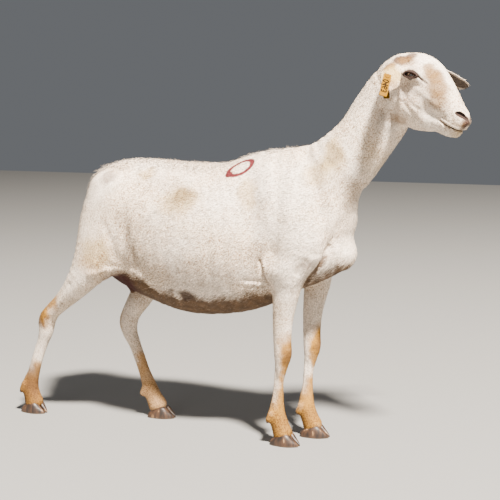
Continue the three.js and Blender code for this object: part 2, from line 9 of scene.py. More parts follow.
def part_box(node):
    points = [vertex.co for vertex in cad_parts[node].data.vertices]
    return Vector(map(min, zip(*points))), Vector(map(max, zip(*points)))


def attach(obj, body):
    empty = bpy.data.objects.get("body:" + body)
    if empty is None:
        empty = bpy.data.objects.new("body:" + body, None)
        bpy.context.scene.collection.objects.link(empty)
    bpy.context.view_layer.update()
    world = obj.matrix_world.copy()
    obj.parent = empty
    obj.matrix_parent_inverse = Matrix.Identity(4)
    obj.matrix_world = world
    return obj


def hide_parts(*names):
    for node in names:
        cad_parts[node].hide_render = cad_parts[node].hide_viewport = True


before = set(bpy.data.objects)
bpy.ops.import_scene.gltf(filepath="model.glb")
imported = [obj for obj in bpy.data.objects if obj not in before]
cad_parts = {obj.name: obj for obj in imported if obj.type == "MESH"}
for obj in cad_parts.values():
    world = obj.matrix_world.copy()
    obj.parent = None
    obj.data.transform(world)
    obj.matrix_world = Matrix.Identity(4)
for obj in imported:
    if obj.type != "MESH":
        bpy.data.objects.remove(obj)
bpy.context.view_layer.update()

# ---- skin ----
# The whole ewe under her coat, one unbroken hide from the lips to the coronets and the
# docked tail. It follows the oval sections of her body, drawn in by the depth of the coat,
# and adds the lids, nostrils, mouth line and the folds where leg, neck and belly meet.

# Her measures are millimetres: x towards the head, y to her left, z up from the floor.
ATLAS = np.array([375.0, 0.0, 850.0])
YAW, PITCH = math.radians(18), math.radians(22)
HEAD_AXES = np.array([
    [math.cos(PITCH) * math.cos(YAW), -math.cos(PITCH) * math.sin(YAW), -math.sin(PITCH)],
    [math.sin(YAW), math.cos(YAW), 0.0],
    [math.sin(PITCH) * math.cos(YAW), -math.sin(PITCH) * math.sin(YAW), math.cos(PITCH)],
])
EYE_SEAT = np.array([104.0, 47.0, 74.0])


def box_middle(name):
    low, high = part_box(name)
    return (np.array(low) + np.array(high)) / 2


# Where her own zero lies in the frame, found from the left eye, which sits at a known place.
ORIGIN = box_middle("eye_left") - (ATLAS + EYE_SEAT @ HEAD_AXES) * 0.001


def to_frame(points):
    return np.asarray(points) * 0.001 + ORIGIN


def in_head(points):
    return (points - ATLAS) @ HEAD_AXES.T


def from_head(points):
    return np.asarray(points, float) @ HEAD_AXES + ATLAS


def mirrored_left(points):
    # The same points, with those on her right moved over to her left.
    moved = points.copy()
    moved[:, 1] = np.abs(moved[:, 1])
    return moved


def eased(value, start, end):
    # 0 before the start and 1 after the end, with a smooth rise between.
    t = np.clip((value - start) / (end - start), 0, 1)
    return t * t * (3 - 2 * t)


def smooth_run(stations, steps):
    # A smooth curve through the stations, with this many steps from each to the next.
    s = np.array(stations, float)
    rows = []
    for i in range(len(s) - 1):
        before, after = s[max(i - 1, 0)], s[min(i + 2, len(s) - 1)]
        for t in np.arange(steps) / steps:
            rows.append(0.5 * (2 * s[i] + (s[i + 1] - before) * t
                               + (2 * before - 5 * s[i] + 4 * s[i + 1] - after) * t ** 2
                               + (3 * s[i] - before - 3 * s[i + 1] + after) * t ** 3))
    return np.array(rows + [s[-1]])


def limb(stations, side=(0, 1, 0), steps=3, cup=0.0):
    # A station is x, y, z, then the section's reach above, below and to each side.
    s = smooth_run(stations, steps)
    along = s[1:, :3] - s[:-1, :3]
    length = np.linalg.norm(along, axis=1)
    t = along / length[:, None]
    b = np.array(side, float) - (t @ np.array(side, float))[:, None] * t
    b /= np.linalg.norm(b, axis=1)[:, None]
    reach = s[:, 3:6].max(1)[:, None] + 45
    return {"s": s, "t": t, "b": b, "n": np.cross(t, b), "length": length, "cup": cup,
            "low": (s[:, :3] - reach).min(0), "high": (s[:, :3] + reach).max(0)}


def outside(part, points):
    # How far each point lies outside a limb, in millimetres; less than zero inside it.
    result = np.full(len(points), 60.0, np.float32)
    near = np.all((points > part["low"]) & (points < part["high"]), axis=1)
    p = points[near].astype(np.float32)
    best = np.full(len(p), 1e6, np.float32)
    for i, length in enumerate(part["length"]):
        first, last = part["s"][i].astype(np.float32), part["s"][i + 1].astype(np.float32)
        d = p - first[:3]
        raw = d @ part["t"][i].astype(np.float32)
        k = np.clip(raw / length, 0, 1)
        up, down, wide = (first[j] + k * (last[j] - first[j]) for j in (3, 4, 5))
        across = d @ part["b"][i].astype(np.float32)
        rise = d @ part["n"][i].astype(np.float32) - part["cup"] * across ** 2 / wide
        tall = np.where(rise > 0, up, down)
        end = np.minimum(0.5 * (up + down), wide)
        q0, q1, q2 = (raw - k * length) / end, rise / tall, across / wide
        rho = np.sqrt(q0 * q0 + q1 * q1 + q2 * q2)
        slope = np.sqrt((q0 / end) ** 2 + (q1 / tall) ** 2 + (q2 / wide) ** 2)
        best = np.minimum(best, rho * (rho - 1) / np.maximum(slope, 1e-7))
    result[near] = best
    return result


def joined(a, b, fillet):
    # Two fields as one, with the corner between them filled.
    h = np.maximum(fillet - np.abs(a - b), 0) / fillet
    return np.minimum(a, b) - h * h * fillet / 4


def carved(a, b, fillet):
    # The first field with the second cut out of it.
    return -joined(-a, b, fillet)


TRUNK = limb([
    (-342, 0, 588, 58, 60, 44), (-322, 0, 578, 88, 118, 80), (-290, 0, 560, 119, 172, 106),
    (-225, 0, 535, 146, 196, 124), (-150, 0, 510, 165, 199, 145), (-80, 0, 496, 177, 201, 156),
    (0, 0, 496, 178, 192, 151), (60, 0, 506, 182, 180, 134), (110, 0, 522, 183, 167, 117),
    (170, 0, 540, 174, 160, 106), (214, 0, 540, 146, 144, 94), (238, 0, 520, 84, 96, 68)])
BRISKET = limb([(180, 0, 464, 60, 62, 74), (234, 0, 460, 54, 56, 65), (276, 0, 467, 45, 47, 52)])
SHOULDER = limb([
    (125, 48, 662, 26, 30, 16), (152, 74, 600, 52, 54, 28), (188, 84, 530, 64, 64, 32),
    (206, 84, 480, 56, 60, 33), (178, 82, 430, 44, 46, 30)])
UDDER = limb([(-332, 0, 402, 30, 28, 42), (-292, 0, 396, 34, 40, 54), (-250, 0, 396, 30, 30, 44)])
TEAT = limb([(-272, 30, 362, 12, 12, 12), (-264, 40, 344, 6, 6, 6)])
TAIL = limb([(-338, 0, 630, 18, 20, 24), (-362, 0, 626, 18, 18, 23), (-378, 0, 606, 15, 16, 20),
             (-384, 0, 580, 9, 10, 13)])
NECK = limb([
    (165, 0, 560, 110, 88, 84), (235, 0, 615, 110, 64, 74), (288, 0, 678, 82, 78, 63),
    (333, 0, 738, 65, 77, 54), (368, -2, 800, 58, 84, 48), (400, -8, 852, 50, 76, 45),
    (424, -17, 886, 32, 52, 40)])
FORELEG = [
    (172, 82, 430, 44, 44, 30), (177, 77, 390, 37, 37, 28), (171, 72, 350, 30, 31, 25),
    (164, 67, 305, 25, 26, 21), (161, 63, 260, 23, 23, 20), (161, 60, 225, 23, 22, 21),
    (157, 58, 196, 17, 17, 17), (150, 56, 160, 12.5, 13, 13), (147, 54, 122, 13.5, 14, 13),
    (144, 52, 92, 17, 19, 17), (145, 51, 68, 20, 24, 20), (152, 50, 46, 21, 24, 21),
    (159, 50, 31, 22, 28, 22)]
LEGS = {
    "front_right": limb([(x, -y, z, *r) for x, y, z, *r in FORELEG]),
    "front_left": limb([(x + 39 - 0.055 * z, y, z, *r) for x, y, z, *r in FORELEG]),
    "hind_right": limb([(x, -y, z, *r) for x, y, z, *r in [
        (-300, 68, 605, 78, 60, 48), (-306, 80, 525, 93, 80, 46), (-322, 86, 455, 78, 76, 43),
        (-358, 86, 397, 42, 58, 38), (-405, 82, 350, 31, 35, 31), (-448, 74, 313, 24, 25, 23),
        (-487, 67, 281, 21, 23, 19), (-507, 62, 254, 23, 27, 19), (-514, 59, 226, 20, 22, 18),
        (-526, 56, 198, 16, 17, 15), (-540, 54, 168, 15.5, 16, 14), (-553, 52, 136, 15.5, 16, 14),
        (-563, 50, 106, 16, 18, 15), (-572, 49, 82, 20, 23, 18), (-574, 48, 62, 21, 25, 20),
        (-570, 47, 44, 22, 25, 21), (-566, 46, 29, 24, 28, 22)]]),
    "hind_left": limb([
        (-292, 70, 605, 80, 78, 50), (-290, 82, 525, 95, 105, 47), (-276, 90, 457, 80, 92, 43),
        (-266, 92, 402, 60, 60, 40), (-286, 86, 352, 40, 40, 33), (-309, 76, 306, 32, 33, 26),
        (-328, 67, 270, 26, 28, 21), (-335, 62, 242, 25, 28, 20), (-330, 60, 215, 21, 22, 18),
        (-315, 57, 186, 17, 17, 15), (-300, 54, 155, 16, 16, 14), (-286, 52, 123, 15.5, 16, 14),
        (-273, 51, 94, 17, 19, 16), (-263, 50, 70, 20, 24, 19), (-254, 50, 52, 21, 23, 20),
        (-243, 50, 34, 24, 28, 22)]),
}
# Each dewclaw is seated in a swelling of the heel.
DEWCLAW_SEATS = [(box_middle("dewclaw_" + foot + side) - ORIGIN) * 1000
                 for foot in LEGS for side in ("_outer", "_inner")]
HEELS = [limb([(*(seat + (13, 0, 17)), 8.5, 8.5, 8), (*(seat + (6.5, 0, 3)), 8.5, 9, 8)])
         for seat in DEWCLAW_SEATS]
# The head's own measures run forward, left and up from the joint with the neck.
SKULL = limb([
    (26, 0, 58, 22, 34, 34), (55, 0, 61, 43, 46, 46), (85, 0, 60, 57, 50, 51),
    (110, 0, 56, 59, 46, 49), (135, 0, 51, 52, 42, 43), (160, 0, 44, 44, 38, 37),
    (185, 0, 36, 35, 31, 32), (208, 0, 28, 27, 26, 28), (226, 0, 24, 21, 21, 25),
    (237, 0, 22, 14, 17, 18)])
JAW = limb([(88, 0, 8, 40, 36, 40), (120, 0, 0, 30, 33, 38), (155, 0, -5, 22, 27, 30),
            (185, 0, -8, 18, 20, 24), (210, 0, -9, 15, 18, 20), (228, 0, -9, 10, 13, 15)])
THROAT = limb([(58, 0, 2, 30, 40, 36), (92, 0, -10, 30, 36, 33), (124, 0, -19, 24, 27, 27),
               (150, 0, -18, 18, 17, 20)])
CHEEK = limb([(98, 30, 22, 34, 36, 19), (128, 29, 12, 28, 30, 16)])
ORBIT = limb([(90, 42, 72, 15, 15, 14), (108, 43, 77, 18, 17, 16), (122, 38, 72, 12, 13, 12)])
LIP = limb([(218, 12, 14, 13, 14, 13), (233, 9, 14, 12, 13, 12)])
EAR_ROOT = limb([(50, 40, 84, 16, 18, 14), (72, 62, 74, 11, 11, 12)])
EARS = {
    "left": limb([
        (60, 50, 84, 8, 8, 13), (76, 70, 80, 5, 5, 18), (96, 94, 75, 3.4, 3.4, 24),
        (114, 114, 68, 3, 3, 24), (122, 123, 65.5, 2.8, 2.8, 22), (128, 129.5, 63.3, 2.7, 2.7, 17.5),
        (132, 134, 61.8, 2.6, 2.6, 12), (134, 136.5, 61, 2.6, 2.6, 5)],
        side=(0.62, -0.3, 0.72), cup=0.34),
    "right": limb([
        (48, -48, 82, 8, 8, 13), (58, -66, 77, 5, 5, 18), (72, -86, 71, 3.4, 3.4, 24),
        (87, -103, 62, 3, 3, 24), (96, -110.5, 54.5, 2.8, 2.8, 22.5), (102, -115, 48.5, 2.7, 2.7, 18),
        (106.5, -118.5, 43.5, 2.6, 2.6, 12), (109, -120, 40.5, 2.6, 2.6, 5)],
        side=(0.77, 0.56, 0.31), cup=-0.34),
}
NOSTRIL = limb([(226, 22, 34.5, 2.6, 2.6, 3), (231, 19, 34.5, 5.2, 4.4, 6.5),
                (237, 14.5, 33, 5.0, 4.0, 6.5), (242, 10.5, 31, 3.6, 2.8, 5),
                (248, 6, 28, 2.2, 2, 3)], steps=2)
FISSURE = math.radians(14.5)  # the eye's slit, tilted up towards the nose


def in_eye(h):
    # Along the slit, up across it, and outwards from the middle of the eyeball.
    u, w, v = (h - EYE_SEAT).T
    return (u * math.cos(FISSURE) + v * math.sin(FISSURE),
            v * math.cos(FISSURE) - u * math.sin(FISSURE), w + 1.0)


def lid(height, radius):
    # A lid's edge: a thin roll that lies on the eyeball and bows up or down by this height.
    path = []
    for along in np.linspace(-15.5, 15.5, 9):
        up = height * (1 - abs(along / 15.5) ** 2.6)
        out = 14.0 * math.sqrt(max(1 - (along / 19) ** 2 - (up / 15) ** 2, 0)) - 0.4
        path.append((EYE_SEAT[0] + along * math.cos(FISSURE) - up * math.sin(FISSURE),
                     EYE_SEAT[1] + out,
                     EYE_SEAT[2] + along * math.sin(FISSURE) + up * math.cos(FISSURE),
                     radius, radius, radius))
    return limb(path, steps=2)


UPPER_LID, LOWER_LID = lid(6.7, 2.5), lid(-5.0, 2.4)


def off_line(points, line):
    # Distance to a broken line, in millimetres.
    best = np.full(len(points), 1e6)
    for a, b in zip(np.array(line[:-1], float), np.array(line[1:], float)):
        k = np.clip((points - a) @ (b - a) / ((b - a) @ (b - a)), 0, 1)
        best = np.minimum(best, np.linalg.norm(points - a - k[:, None] * (b - a), axis=1))
    return best


# Each fold is a line over the body, how deep it is (less than zero for a ridge), and how wide.
HEAD_FOLDS = [
    ([(118, 55, 79), (124, 50, 76.5), (130, 46, 73.5), (140, 40, 68.5)], 3.0, 2.4),  # tear groove
    ([(90, 56, 56), (102, 54, 52), (118, 53, 55), (126, 50, 58)], 2.0, 3.2),  # under the eye
    ([(86, 54, 84), (104, 60, 89), (120, 50, 86)], -2.0, 4.5),  # brow
    ([(128, 51, 50), (150, 43, 42), (176, 35, 32)], -1.6, 8.0),  # ridge of the cheekbone
    ([(104, 49, 10), (130, 43, -4), (139, 36, -13), (152, 30, -18)], 2.2, 5.5),  # edge of the jaw
    ([(107, 50, 26), (113, 49, 19), (131, 45, 12), (143, 40, 9)], 1.5, 4.5),  # across the cheek
    ([(89, 50, 30), (98, 51, 14), (102, 47, -4), (99, 39, -18), (95, 30, -31), (98, 22, -39)],
     -2.4, 6.0),  # corner of the jaw
    ([(66, 46, 42), (76, 49, 22), (80, 46, -2), (78, 39, -18), (75, 30, -33), (80, 20, -44)],
     6.0, 9.0),  # behind the jaw
    ([(172, 30, 13), (185, 28, 12), (198, 27, 15)], 2.4, 3.2),  # behind the mouth
    ([(176, 24, -12), (200, 20, -13)], 1.4, 5.0),  # under the lower lip
    ([(74, 56, 90), (84, 54, 92)], 2.0, 11.0),  # hollow of the temple
    ([(253, 0, 30), (250, 0, 8)], 2.6, 2.0),  # cleft of the upper lip
    ([(221, 25, 45), (231, 20, 44.5), (242, 11, 40)], -1.6, 3.4),  # wing of the nostril
    ([(222, 26, 32), (234, 22, 30)], -1.4, 5.0),  # pad of the upper lip
]
BODY_FOLDS = [
    ([(297, 47, 543), (285, 48, 510), (278, 52, 494), (270, 56, 475)], 2.6, 10.0),  # before the shoulder
    ([(275, 53, 487), (268, 57, 472), (261, 60, 459), (249, 60, 437), (234, 58, 422), (216, 44, 402)],
     8.5, 6.5),  # between shoulder and brisket
    ([(297, 14, 444), (286, 26, 432), (266, 34, 422), (244, 26, 404)], -3.5, 5.0),  # edge of the brisket
    ([(284, 12, 424), (262, 20, 408), (240, 14, 394)], 5.0, 8.0),  # hollow under the brisket
    ([(133, 107, 452), (138, 107, 436), (141, 100, 414), (144, 93, 398)], -2.6, 4.2),  # elbow fold
    ([(124, 108, 454), (129, 107, 436), (131, 102, 416), (138, 92, 396)], 5.0, 4.6),  # behind the fold
    ([(88, 106, 397), (109, 96, 394.5), (127, 89, 395)], -1.8, 3.6),  # wrinkle behind the elbow
    ([(96, 99, 389), (119, 88, 387), (139, 87, 386)], 3.4, 4.4),  # under the wrinkle
    ([(84, 110, 405), (104, 102, 403), (122, 95, 404)], 1.8, 4.0),  # over the wrinkle
    ([(138, 46, 698), (165, 104, 622), (169, 119, 544), (153, 115, 480)], 3.2, 16.0),  # shoulder blade
    ([(96, 104, 630), (106, 122, 560), (114, 126, 500)], 3.5, 20.0),  # behind the shoulder
    ([(236, 108, 455), (218, 106, 430)], 4.5, 9.0),  # hollow above the forearm
    ([(204, 34, 706), (246, 78, 640), (270, 86, 570)], 5.0, 17.0),  # neck against shoulder
    ([(392, 42, 800), (340, 58, 700), (292, 66, 606)], 3.0, 15.0),  # groove along the neck
    ([(-196, 96, 622), (-130, 114, 600)], 6.0, 36.0),  # hollow of the flank
    ([(-210, 84, 655), (-180, 86, 660)], -4.0, 22.0),  # point of the hip
    ([(-338, 80, 606), (-352, 70, 560)], -4.0, 18.0),  # seat bone
]
RIGHT_FLANK_FOLDS = [
    ([(-245, -126, 556), (-233, -130, 523), (-222, -130, 479), (-214, -127, 450), (-198, -125, 429)],
     2.2, 17.0),  # front of the thigh
    ([(-340, -120, 393), (-294, -115, 406), (-262, -106, 407), (-226, -111, 407), (-202, -115, 402),
      (-180, -112, 387), (-153, -111, 377), (-125, -113, 367), (-97, -108, 356)], -2.6, 7.5),  # flank fold
    ([(-310, -96, 384), (-258, -92, 388), (-215, -96, 386), (-182, -94, 364), (-150, -92, 346)],
     7.0, 9.0),  # hollow under the flank fold
    ([(-292, -126, 520), (-270, -126, 470), (-262, -122, 430)], 2.2, 9.0),  # across the thigh
    ([(-405, -108, 364), (-450, -92, 324), (-492, -80, 286)], 2.2, 8.0),  # tendon above the hock
    ([(-560, -36, 112), (-530, -42, 186)], 1.6, 4.0),  # beside the cannon's tendon, inside
    ([(-560, -64, 112), (-530, -70, 186)], 1.6, 4.0),  # and outside
] + [([(-300 - 12 * i + 5 * (i % 3), -127 + 3 * i, 486 - 17 * (i % 2)),
       (-306 - 10 * i, -126 + 2 * i, 424 + 9 * (i % 3))],
      0.6 + 0.4 * (i % 2), 4.5) for i in range(6)]  # fine wrinkles on the thigh
LEFT_FLANK_FOLDS = [
    ([(-228, 126, 552), (-206, 129, 510), (-188, 128, 465), (-174, 122, 424)], 3.0, 15.0),
    ([(-222, 112, 396), (-194, 114, 392), (-165, 110, 374), (-130, 110, 360)], -4.0, 6.0),
    ([(-210, 94, 378), (-180, 94, 364), (-150, 92, 346)], 6.0, 9.0),
    ([(-276, 120, 372), (-306, 104, 318), (-322, 88, 284)], 3.6, 6.5),
    ([(-311, 44, 182), (-282, 38, 110)], 1.6, 4.0),
    ([(-311, 70, 182), (-282, 64, 110)], 1.6, 4.0),
] + [([(-340 - 9 * i + 4 * (i % 3), 116 - 7 * i, 490 - 15 * (i % 2)),
       (-328 - 9 * i, 118 - 8 * i, 424 + 8 * (i % 3))],
      0.6 + 0.4 * (i % 2), 4.5) for i in range(6)]
# The grooves along both sides of the fore cannons.
BODY_FOLDS += [([(148 + shift, side, 186), (144 + shift, side - 2, 112)], 1.6, 4.0)
               for shift, side in ((0, 45), (0, 68), (33, 45), (33, 68))]
FOLD_GAIN = 1.35  # every body fold is cut this much deeper, as the coat fills a part of it


def coat_depth(points, h):
    # Deepest on the body, thin on the legs and thinnest on the head.
    depth = 2.4 - 1.0 * (1 - eased(points[:, 2], 330, 420)) - 0.5 * (1 - eased(points[:, 2], 90, 200))
    at_head = eased(h[:, 0], 10, 70) * eased(points[:, 2], 640, 740)
    return depth * (1 - at_head) + 0.8 * at_head


def head_field(h):
    g = mirrored_left(h)
    f = joined(outside(SKULL, g), outside(JAW, g), 22)
    f = joined(f, outside(THROAT, g), 20)
    for part, fillet in ((CHEEK, 14), (ORBIT, 10), (LIP, 8), (EAR_ROOT, 14)):
        f = joined(f, outside(part, g), fillet)
    return f


def mouth_height(u):
    # The line where the lips meet: it rises behind the front of the mouth.
    return 5.4 * ((u - 222) / 34) ** 2 * (u < 222) - 1.2 * eased(u, 212, 240)


def face_details(f, g):
    # Folds, mouth, eyes and nostrils, cut into the field where it is close to the hide.
    near = (f < 14) & (f > -16) & (g[:, 0] > 40) & (g[:, 1] < 85)
    k = g[near]
    d = f[near].astype(float)
    for line, depth, width in HEAD_FOLDS:
        d = d + depth * np.exp(-(off_line(k, line) / width) ** 2)
    u, w, v = k.T
    mouth = mouth_height(u)
    opens = eased(u, 185, 195)
    # The groove between the lips, and the pads of the upper and lower lip.
    for rise, depth, width in ((0, 3.6, 1.7), (5, -1.6, 3.2), (-5, -1.0, 3.2)):
        d = d + depth * opens * np.exp(-((v - mouth - rise) / width) ** 2)
    # The socket, the lids over it, and the slit between them.
    along, up, out = in_eye(k)
    bowl = np.sqrt((along / 24) ** 2 + (up / 16) ** 2 + ((out - 24) / 12.5) ** 2)
    d = carved(d, (bowl - 1) * 12, 7)
    d = joined(d, joined(outside(UPPER_LID, k), outside(LOWER_LID, k), 1.0), 3.2)
    slit = np.sqrt((along / 15.2) ** 2 + (up - 0.5) ** 2 / np.where(up > 0.5, 5.4, 5.0) ** 2
                   + ((out - 14) / 13) ** 2)
    d = carved(d, (slit - 1) * 5, 1.2)
    d = carved(d, outside(NOSTRIL, k), 2.5)
    result = f.copy()
    result[near] = d
    return result


def body_parts(points):
    # The regions of the body, each as a field of its own.
    mirrored = mirrored_left(points)
    h = in_head(points)
    trunk = joined(outside(TRUNK, points), outside(BRISKET, points), 24)
    trunk = joined(trunk, outside(SHOULDER, mirrored), 30)
    parts = {"trunk": trunk, "neck": outside(NECK, points), "head": head_field(h),
             "tail": outside(TAIL, points)}
    parts.update({name: outside(leg, points) for name, leg in LEGS.items()})
    parts["udder"] = joined(outside(UDDER, points), outside(TEAT, mirrored), 10)
    parts.update({"ear_" + name: outside(ear, h) for name, ear in EARS.items()})
    return parts, mirrored, h


def hide(points):
    # The field of the whole hide: less than zero inside it, zero on its surface.
    parts, mirrored, h = body_parts(points)
    f = parts["trunk"]
    for name, fillet in (("neck", 34), ("head", 20), ("tail", 16), ("front_right", 26),
                         ("front_left", 26), ("hind_right", 26), ("hind_left", 26), ("udder", 8)):
        f = joined(f, parts[name], fillet)
    for heel in HEELS:
        f = joined(f, outside(heel, points), 9)
    near = np.abs(f) < 40
    if near.any():
        for folds, where in ((BODY_FOLDS, mirrored), (RIGHT_FLANK_FOLDS, points),
                             (LEFT_FLANK_FOLDS, points)):
            for line, depth, width in folds:
                corners = np.array(line, float)
                close = near & np.all((where > corners.min(0) - 2.5 * width)
                                      & (where < corners.max(0) + 2.5 * width), axis=1)
                if close.any():
                    f[close] += FOLD_GAIN * depth * np.exp(-(off_line(where[close], line) / width) ** 2)
    f = face_details(f + coat_depth(points, h), mirrored_left(h))
    for name in ("ear_left", "ear_right"):
        f = joined(f, parts[name] + 0.8, 6)
    return f.astype(np.float32)


def in_chunks(function, points, size=150000):
    # Works through the points in parts, to spare memory.
    return np.concatenate([function(points[i:i + size]) for i in range(0, len(points), size)])


def graded(*runs):
    # Grid lines from (start, end, step) runs.
    lines = [np.arange(start, end - 0.3 * step, step) for start, end, step in runs]
    return np.concatenate(lines + [[runs[-1][1]]])


# The grid is finest through the eyes, and fine over the face, ears and feet.
GRID = (
    graded((-632, 290, 4.5), (290, 380, 3), (380, 456, 2), (456, 530, 1.1), (530, 632, 1.8)),
    graded((-184, -152, 4), (-152, -106, 2), (-106, -82, 1.1), (-82, -2, 2.2), (-2, 32, 1.2),
           (32, 108, 2), (108, 190, 4)),
    graded((2, 340, 3.6), (340, 690, 4.5), (690, 760, 3), (760, 864, 1.8), (864, 896, 1.1),
           (896, 944, 2.2)),
)


def grid_field(grid, field, block=8):
    # The field on every grid point near the surface; elsewhere only its sign matters.
    shape = tuple(len(axis) for axis in grid)
    values = np.empty(shape, np.float32)
    starts = [np.arange(0, n, block) for n in shape]
    ends = [np.minimum(s + block, n) - 1 for s, n in zip(starts, shape)]
    middles = [(axis[s] + axis[e]) / 2 for axis, s, e in zip(grid, starts, ends)]
    halves = [(axis[e] - axis[s]) / 2 for axis, s, e in zip(grid, starts, ends)]
    centres = np.stack(np.meshgrid(*middles, indexing="ij"), -1).reshape(-1, 3)
    radius = np.sqrt(sum(h ** 2 for h in np.meshgrid(*halves, indexing="ij"))).reshape(-1)
    coarse = in_chunks(field, centres)
    # A block is near if the surface can reach it, with room for the field's own stretch.
    live = np.abs(coarse) < 1.35 * radius + 10
    wanted = np.zeros(shape, bool)
    for number, (i, j, k) in enumerate(np.ndindex(*(len(s) for s in starts))):
        piece = tuple(slice(s[n], e[n] + 1) for s, e, n in zip(starts, ends, (i, j, k)))
        values[piece] = coarse[number]
        if live[number]:
            wanted[piece] = True
    index = np.nonzero(wanted)
    values[index] = in_chunks(field, np.stack([axis[i] for axis, i in zip(grid, index)], -1))
    return values


def surface(grid, values):
    # One vertex in each cell the surface passes through, and a quad round each crossed edge.
    inside = values < 0
    count = np.zeros(tuple(n - 1 for n in values.shape), np.uint8)
    offsets = list(np.ndindex(2, 2, 2))
    for o in offsets:
        count += inside[tuple(slice(d, n - 1 + d) for d, n in zip(o, values.shape))]
    cells = np.argwhere((count > 0) & (count < 8))
    number = np.full(count.shape, -1, np.int32)
    number[tuple(cells.T)] = np.arange(len(cells))
    total, crossings = np.zeros((len(cells), 3)), np.zeros(len(cells))
    places = {o: np.stack([grid[a][cells[:, a] + o[a]] for a in range(3)], -1) for o in offsets}
    levels = {o: values[tuple((cells + o).T)] for o in offsets}
    for o in offsets:
        for axis in range(3):
            if o[axis]:
                continue
            other = tuple(1 if a == axis else o[a] for a in range(3))
            crossed = (levels[o] < 0) != (levels[other] < 0)
            t = np.where(crossed, levels[o] / np.where(crossed, levels[o] - levels[other], 1), 0)
            point = places[o] + t[:, None] * (places[other] - places[o])
            total += np.where(crossed[:, None], point, 0)
            crossings += crossed
    vertices = total / crossings[:, None]
    quads = []
    for axis in range(3):
        here = [slice(None)] * 3
        ahead = list(here)
        here[axis], ahead[axis] = slice(0, -1), slice(1, None)
        first, second = inside[tuple(here)], inside[tuple(ahead)]
        edges = np.argwhere(first != second)
        b, c = [a for a in range(3) if a != axis]
        edges = edges[(edges[:, b] > 0) & (edges[:, c] > 0)]
        outward = first[tuple(edges.T)]
        ring = []
        for db, dc in ((1, 1), (0, 1), (0, 0), (1, 0)):
            cell = edges.copy()
            cell[:, b] -= db
            cell[:, c] -= dc
            ring.append(number[tuple(cell.T)])
        ring = np.stack(ring, -1)
        turn = outward if axis != 1 else ~outward
        quads.append(np.where(turn[:, None], ring, ring[:, ::-1]))
    return vertices, np.concatenate(quads)


def slope_of(field, points, step=0.4):
    # The field at each point, and how fast it changes each way.
    base = in_chunks(field, points)
    shifted = [in_chunks(field, points + step * axis) - base for axis in np.eye(3)]
    return base, np.stack(shifted, -1) / step


def settled(field, points, rounds=2):
    # Moves each point along the slope until it lies on the surface.
    for _ in range(rounds):
        base, slope = slope_of(field, points)
        size = np.maximum((slope ** 2).sum(1), 0.2)
        points = points - (np.clip(base, -2.5, 2.5) / size)[:, None] * slope
    return points


def new_mesh(name, vertices, faces, smooth=True):
    # Faces is an array with one row of corners for each face.
    mesh = bpy.data.meshes.new(name)
    rows, corners = faces.shape
    mesh.vertices.add(len(vertices))
    mesh.vertices.foreach_set("co", np.asarray(vertices, np.float32).ravel())
    mesh.loops.add(rows * corners)
    mesh.loops.foreach_set("vertex_index", faces.astype(np.int32).ravel())
    mesh.polygons.add(rows)
    mesh.polygons.foreach_set("loop_start", np.arange(0, rows * corners, corners, dtype=np.int32))
    mesh.polygons.foreach_set("use_smooth", np.full(rows, smooth))
    mesh.update(calc_edges=True)
    mesh.validate()
    thing = bpy.data.objects.new(name, mesh)
    bpy.context.scene.collection.objects.link(thing)
    return thing


skin_points, skin_faces = surface(GRID, grid_field(GRID, hide))
skin_points = settled(hide, skin_points)
skin = new_mesh("skin", to_frame(skin_points), skin_faces)


# Node helpers: a node with its settings and its inputs, which are values or other sockets.
def node(tree, kind, inputs=None, **settings):
    made = tree.nodes.new("ShaderNode" + kind)
    for key, value in settings.items():
        setattr(made, key, value)
    for key, value in (inputs or {}).items():
        if isinstance(value, bpy.types.NodeSocket):
            tree.links.new(value, made.inputs[key])
        else:
            made.inputs[key].default_value = value
    return made


def maths(tree, operation, *values):
    return node(tree, "Math", dict(enumerate(values)), operation=operation).outputs[0]


def vector_maths(tree, operation, first, second=None, result=0):
    inputs = {0: first} if second is None else {0: first, 1: second}
    return node(tree, "VectorMath", inputs, operation=operation).outputs[result]


def own_place(tree):
    # Where the shaded point lies in its piece's own metres.
    return node(tree, "TexCoord").outputs["Object"]


def noise(tree, where, scale, detail=2.0, result=0):
    inputs = {"Vector": where, "Scale": scale, "Detail": detail}
    return node(tree, "TexNoise", inputs).outputs[result]


def roughened(tree, shader, height, strength, distance):
    # Lets a height from 0 to 1 roughen the surface.
    lift = node(tree, "Bump", {"Strength": strength, "Distance": distance, "Height": height})
    tree.links.new(lift.outputs[0], shader.inputs["Normal"])


def ramp(tree, value, start, end, low=0.0, high=1.0):
    # A smooth rise from low to high as the value goes from start to end.
    return node(tree, "MapRange", {"Value": value, "From Min": start, "From Max": end,
                                   "To Min": low, "To Max": high},
                interpolation_type="SMOOTHSTEP").outputs[0]


def mixed(tree, factor, first, second, kind="MIX"):
    made = node(tree, "Mix", data_type="RGBA", blend_type=kind)
    for socket, value in zip((made.inputs[0], made.inputs[6], made.inputs[7]), (factor, first, second)):
        if isinstance(value, bpy.types.NodeSocket):
            tree.links.new(value, socket)
        else:
            socket.default_value = value
    return made.outputs[2]


def new_group(name, inputs, outputs):
    # A shader node group with its sockets, and its input and output nodes.
    group = bpy.data.node_groups.new(name, "ShaderNodeTree")
    for direction, sockets in (("INPUT", inputs), ("OUTPUT", outputs)):
        for label, (kind, value) in sockets.items():
            socket = group.interface.new_socket(label, in_out=direction, socket_type="NodeSocket" + kind)
            if value is not None:
                socket.default_value = value
    return group, group.nodes.new("NodeGroupInput"), group.nodes.new("NodeGroupOutput")


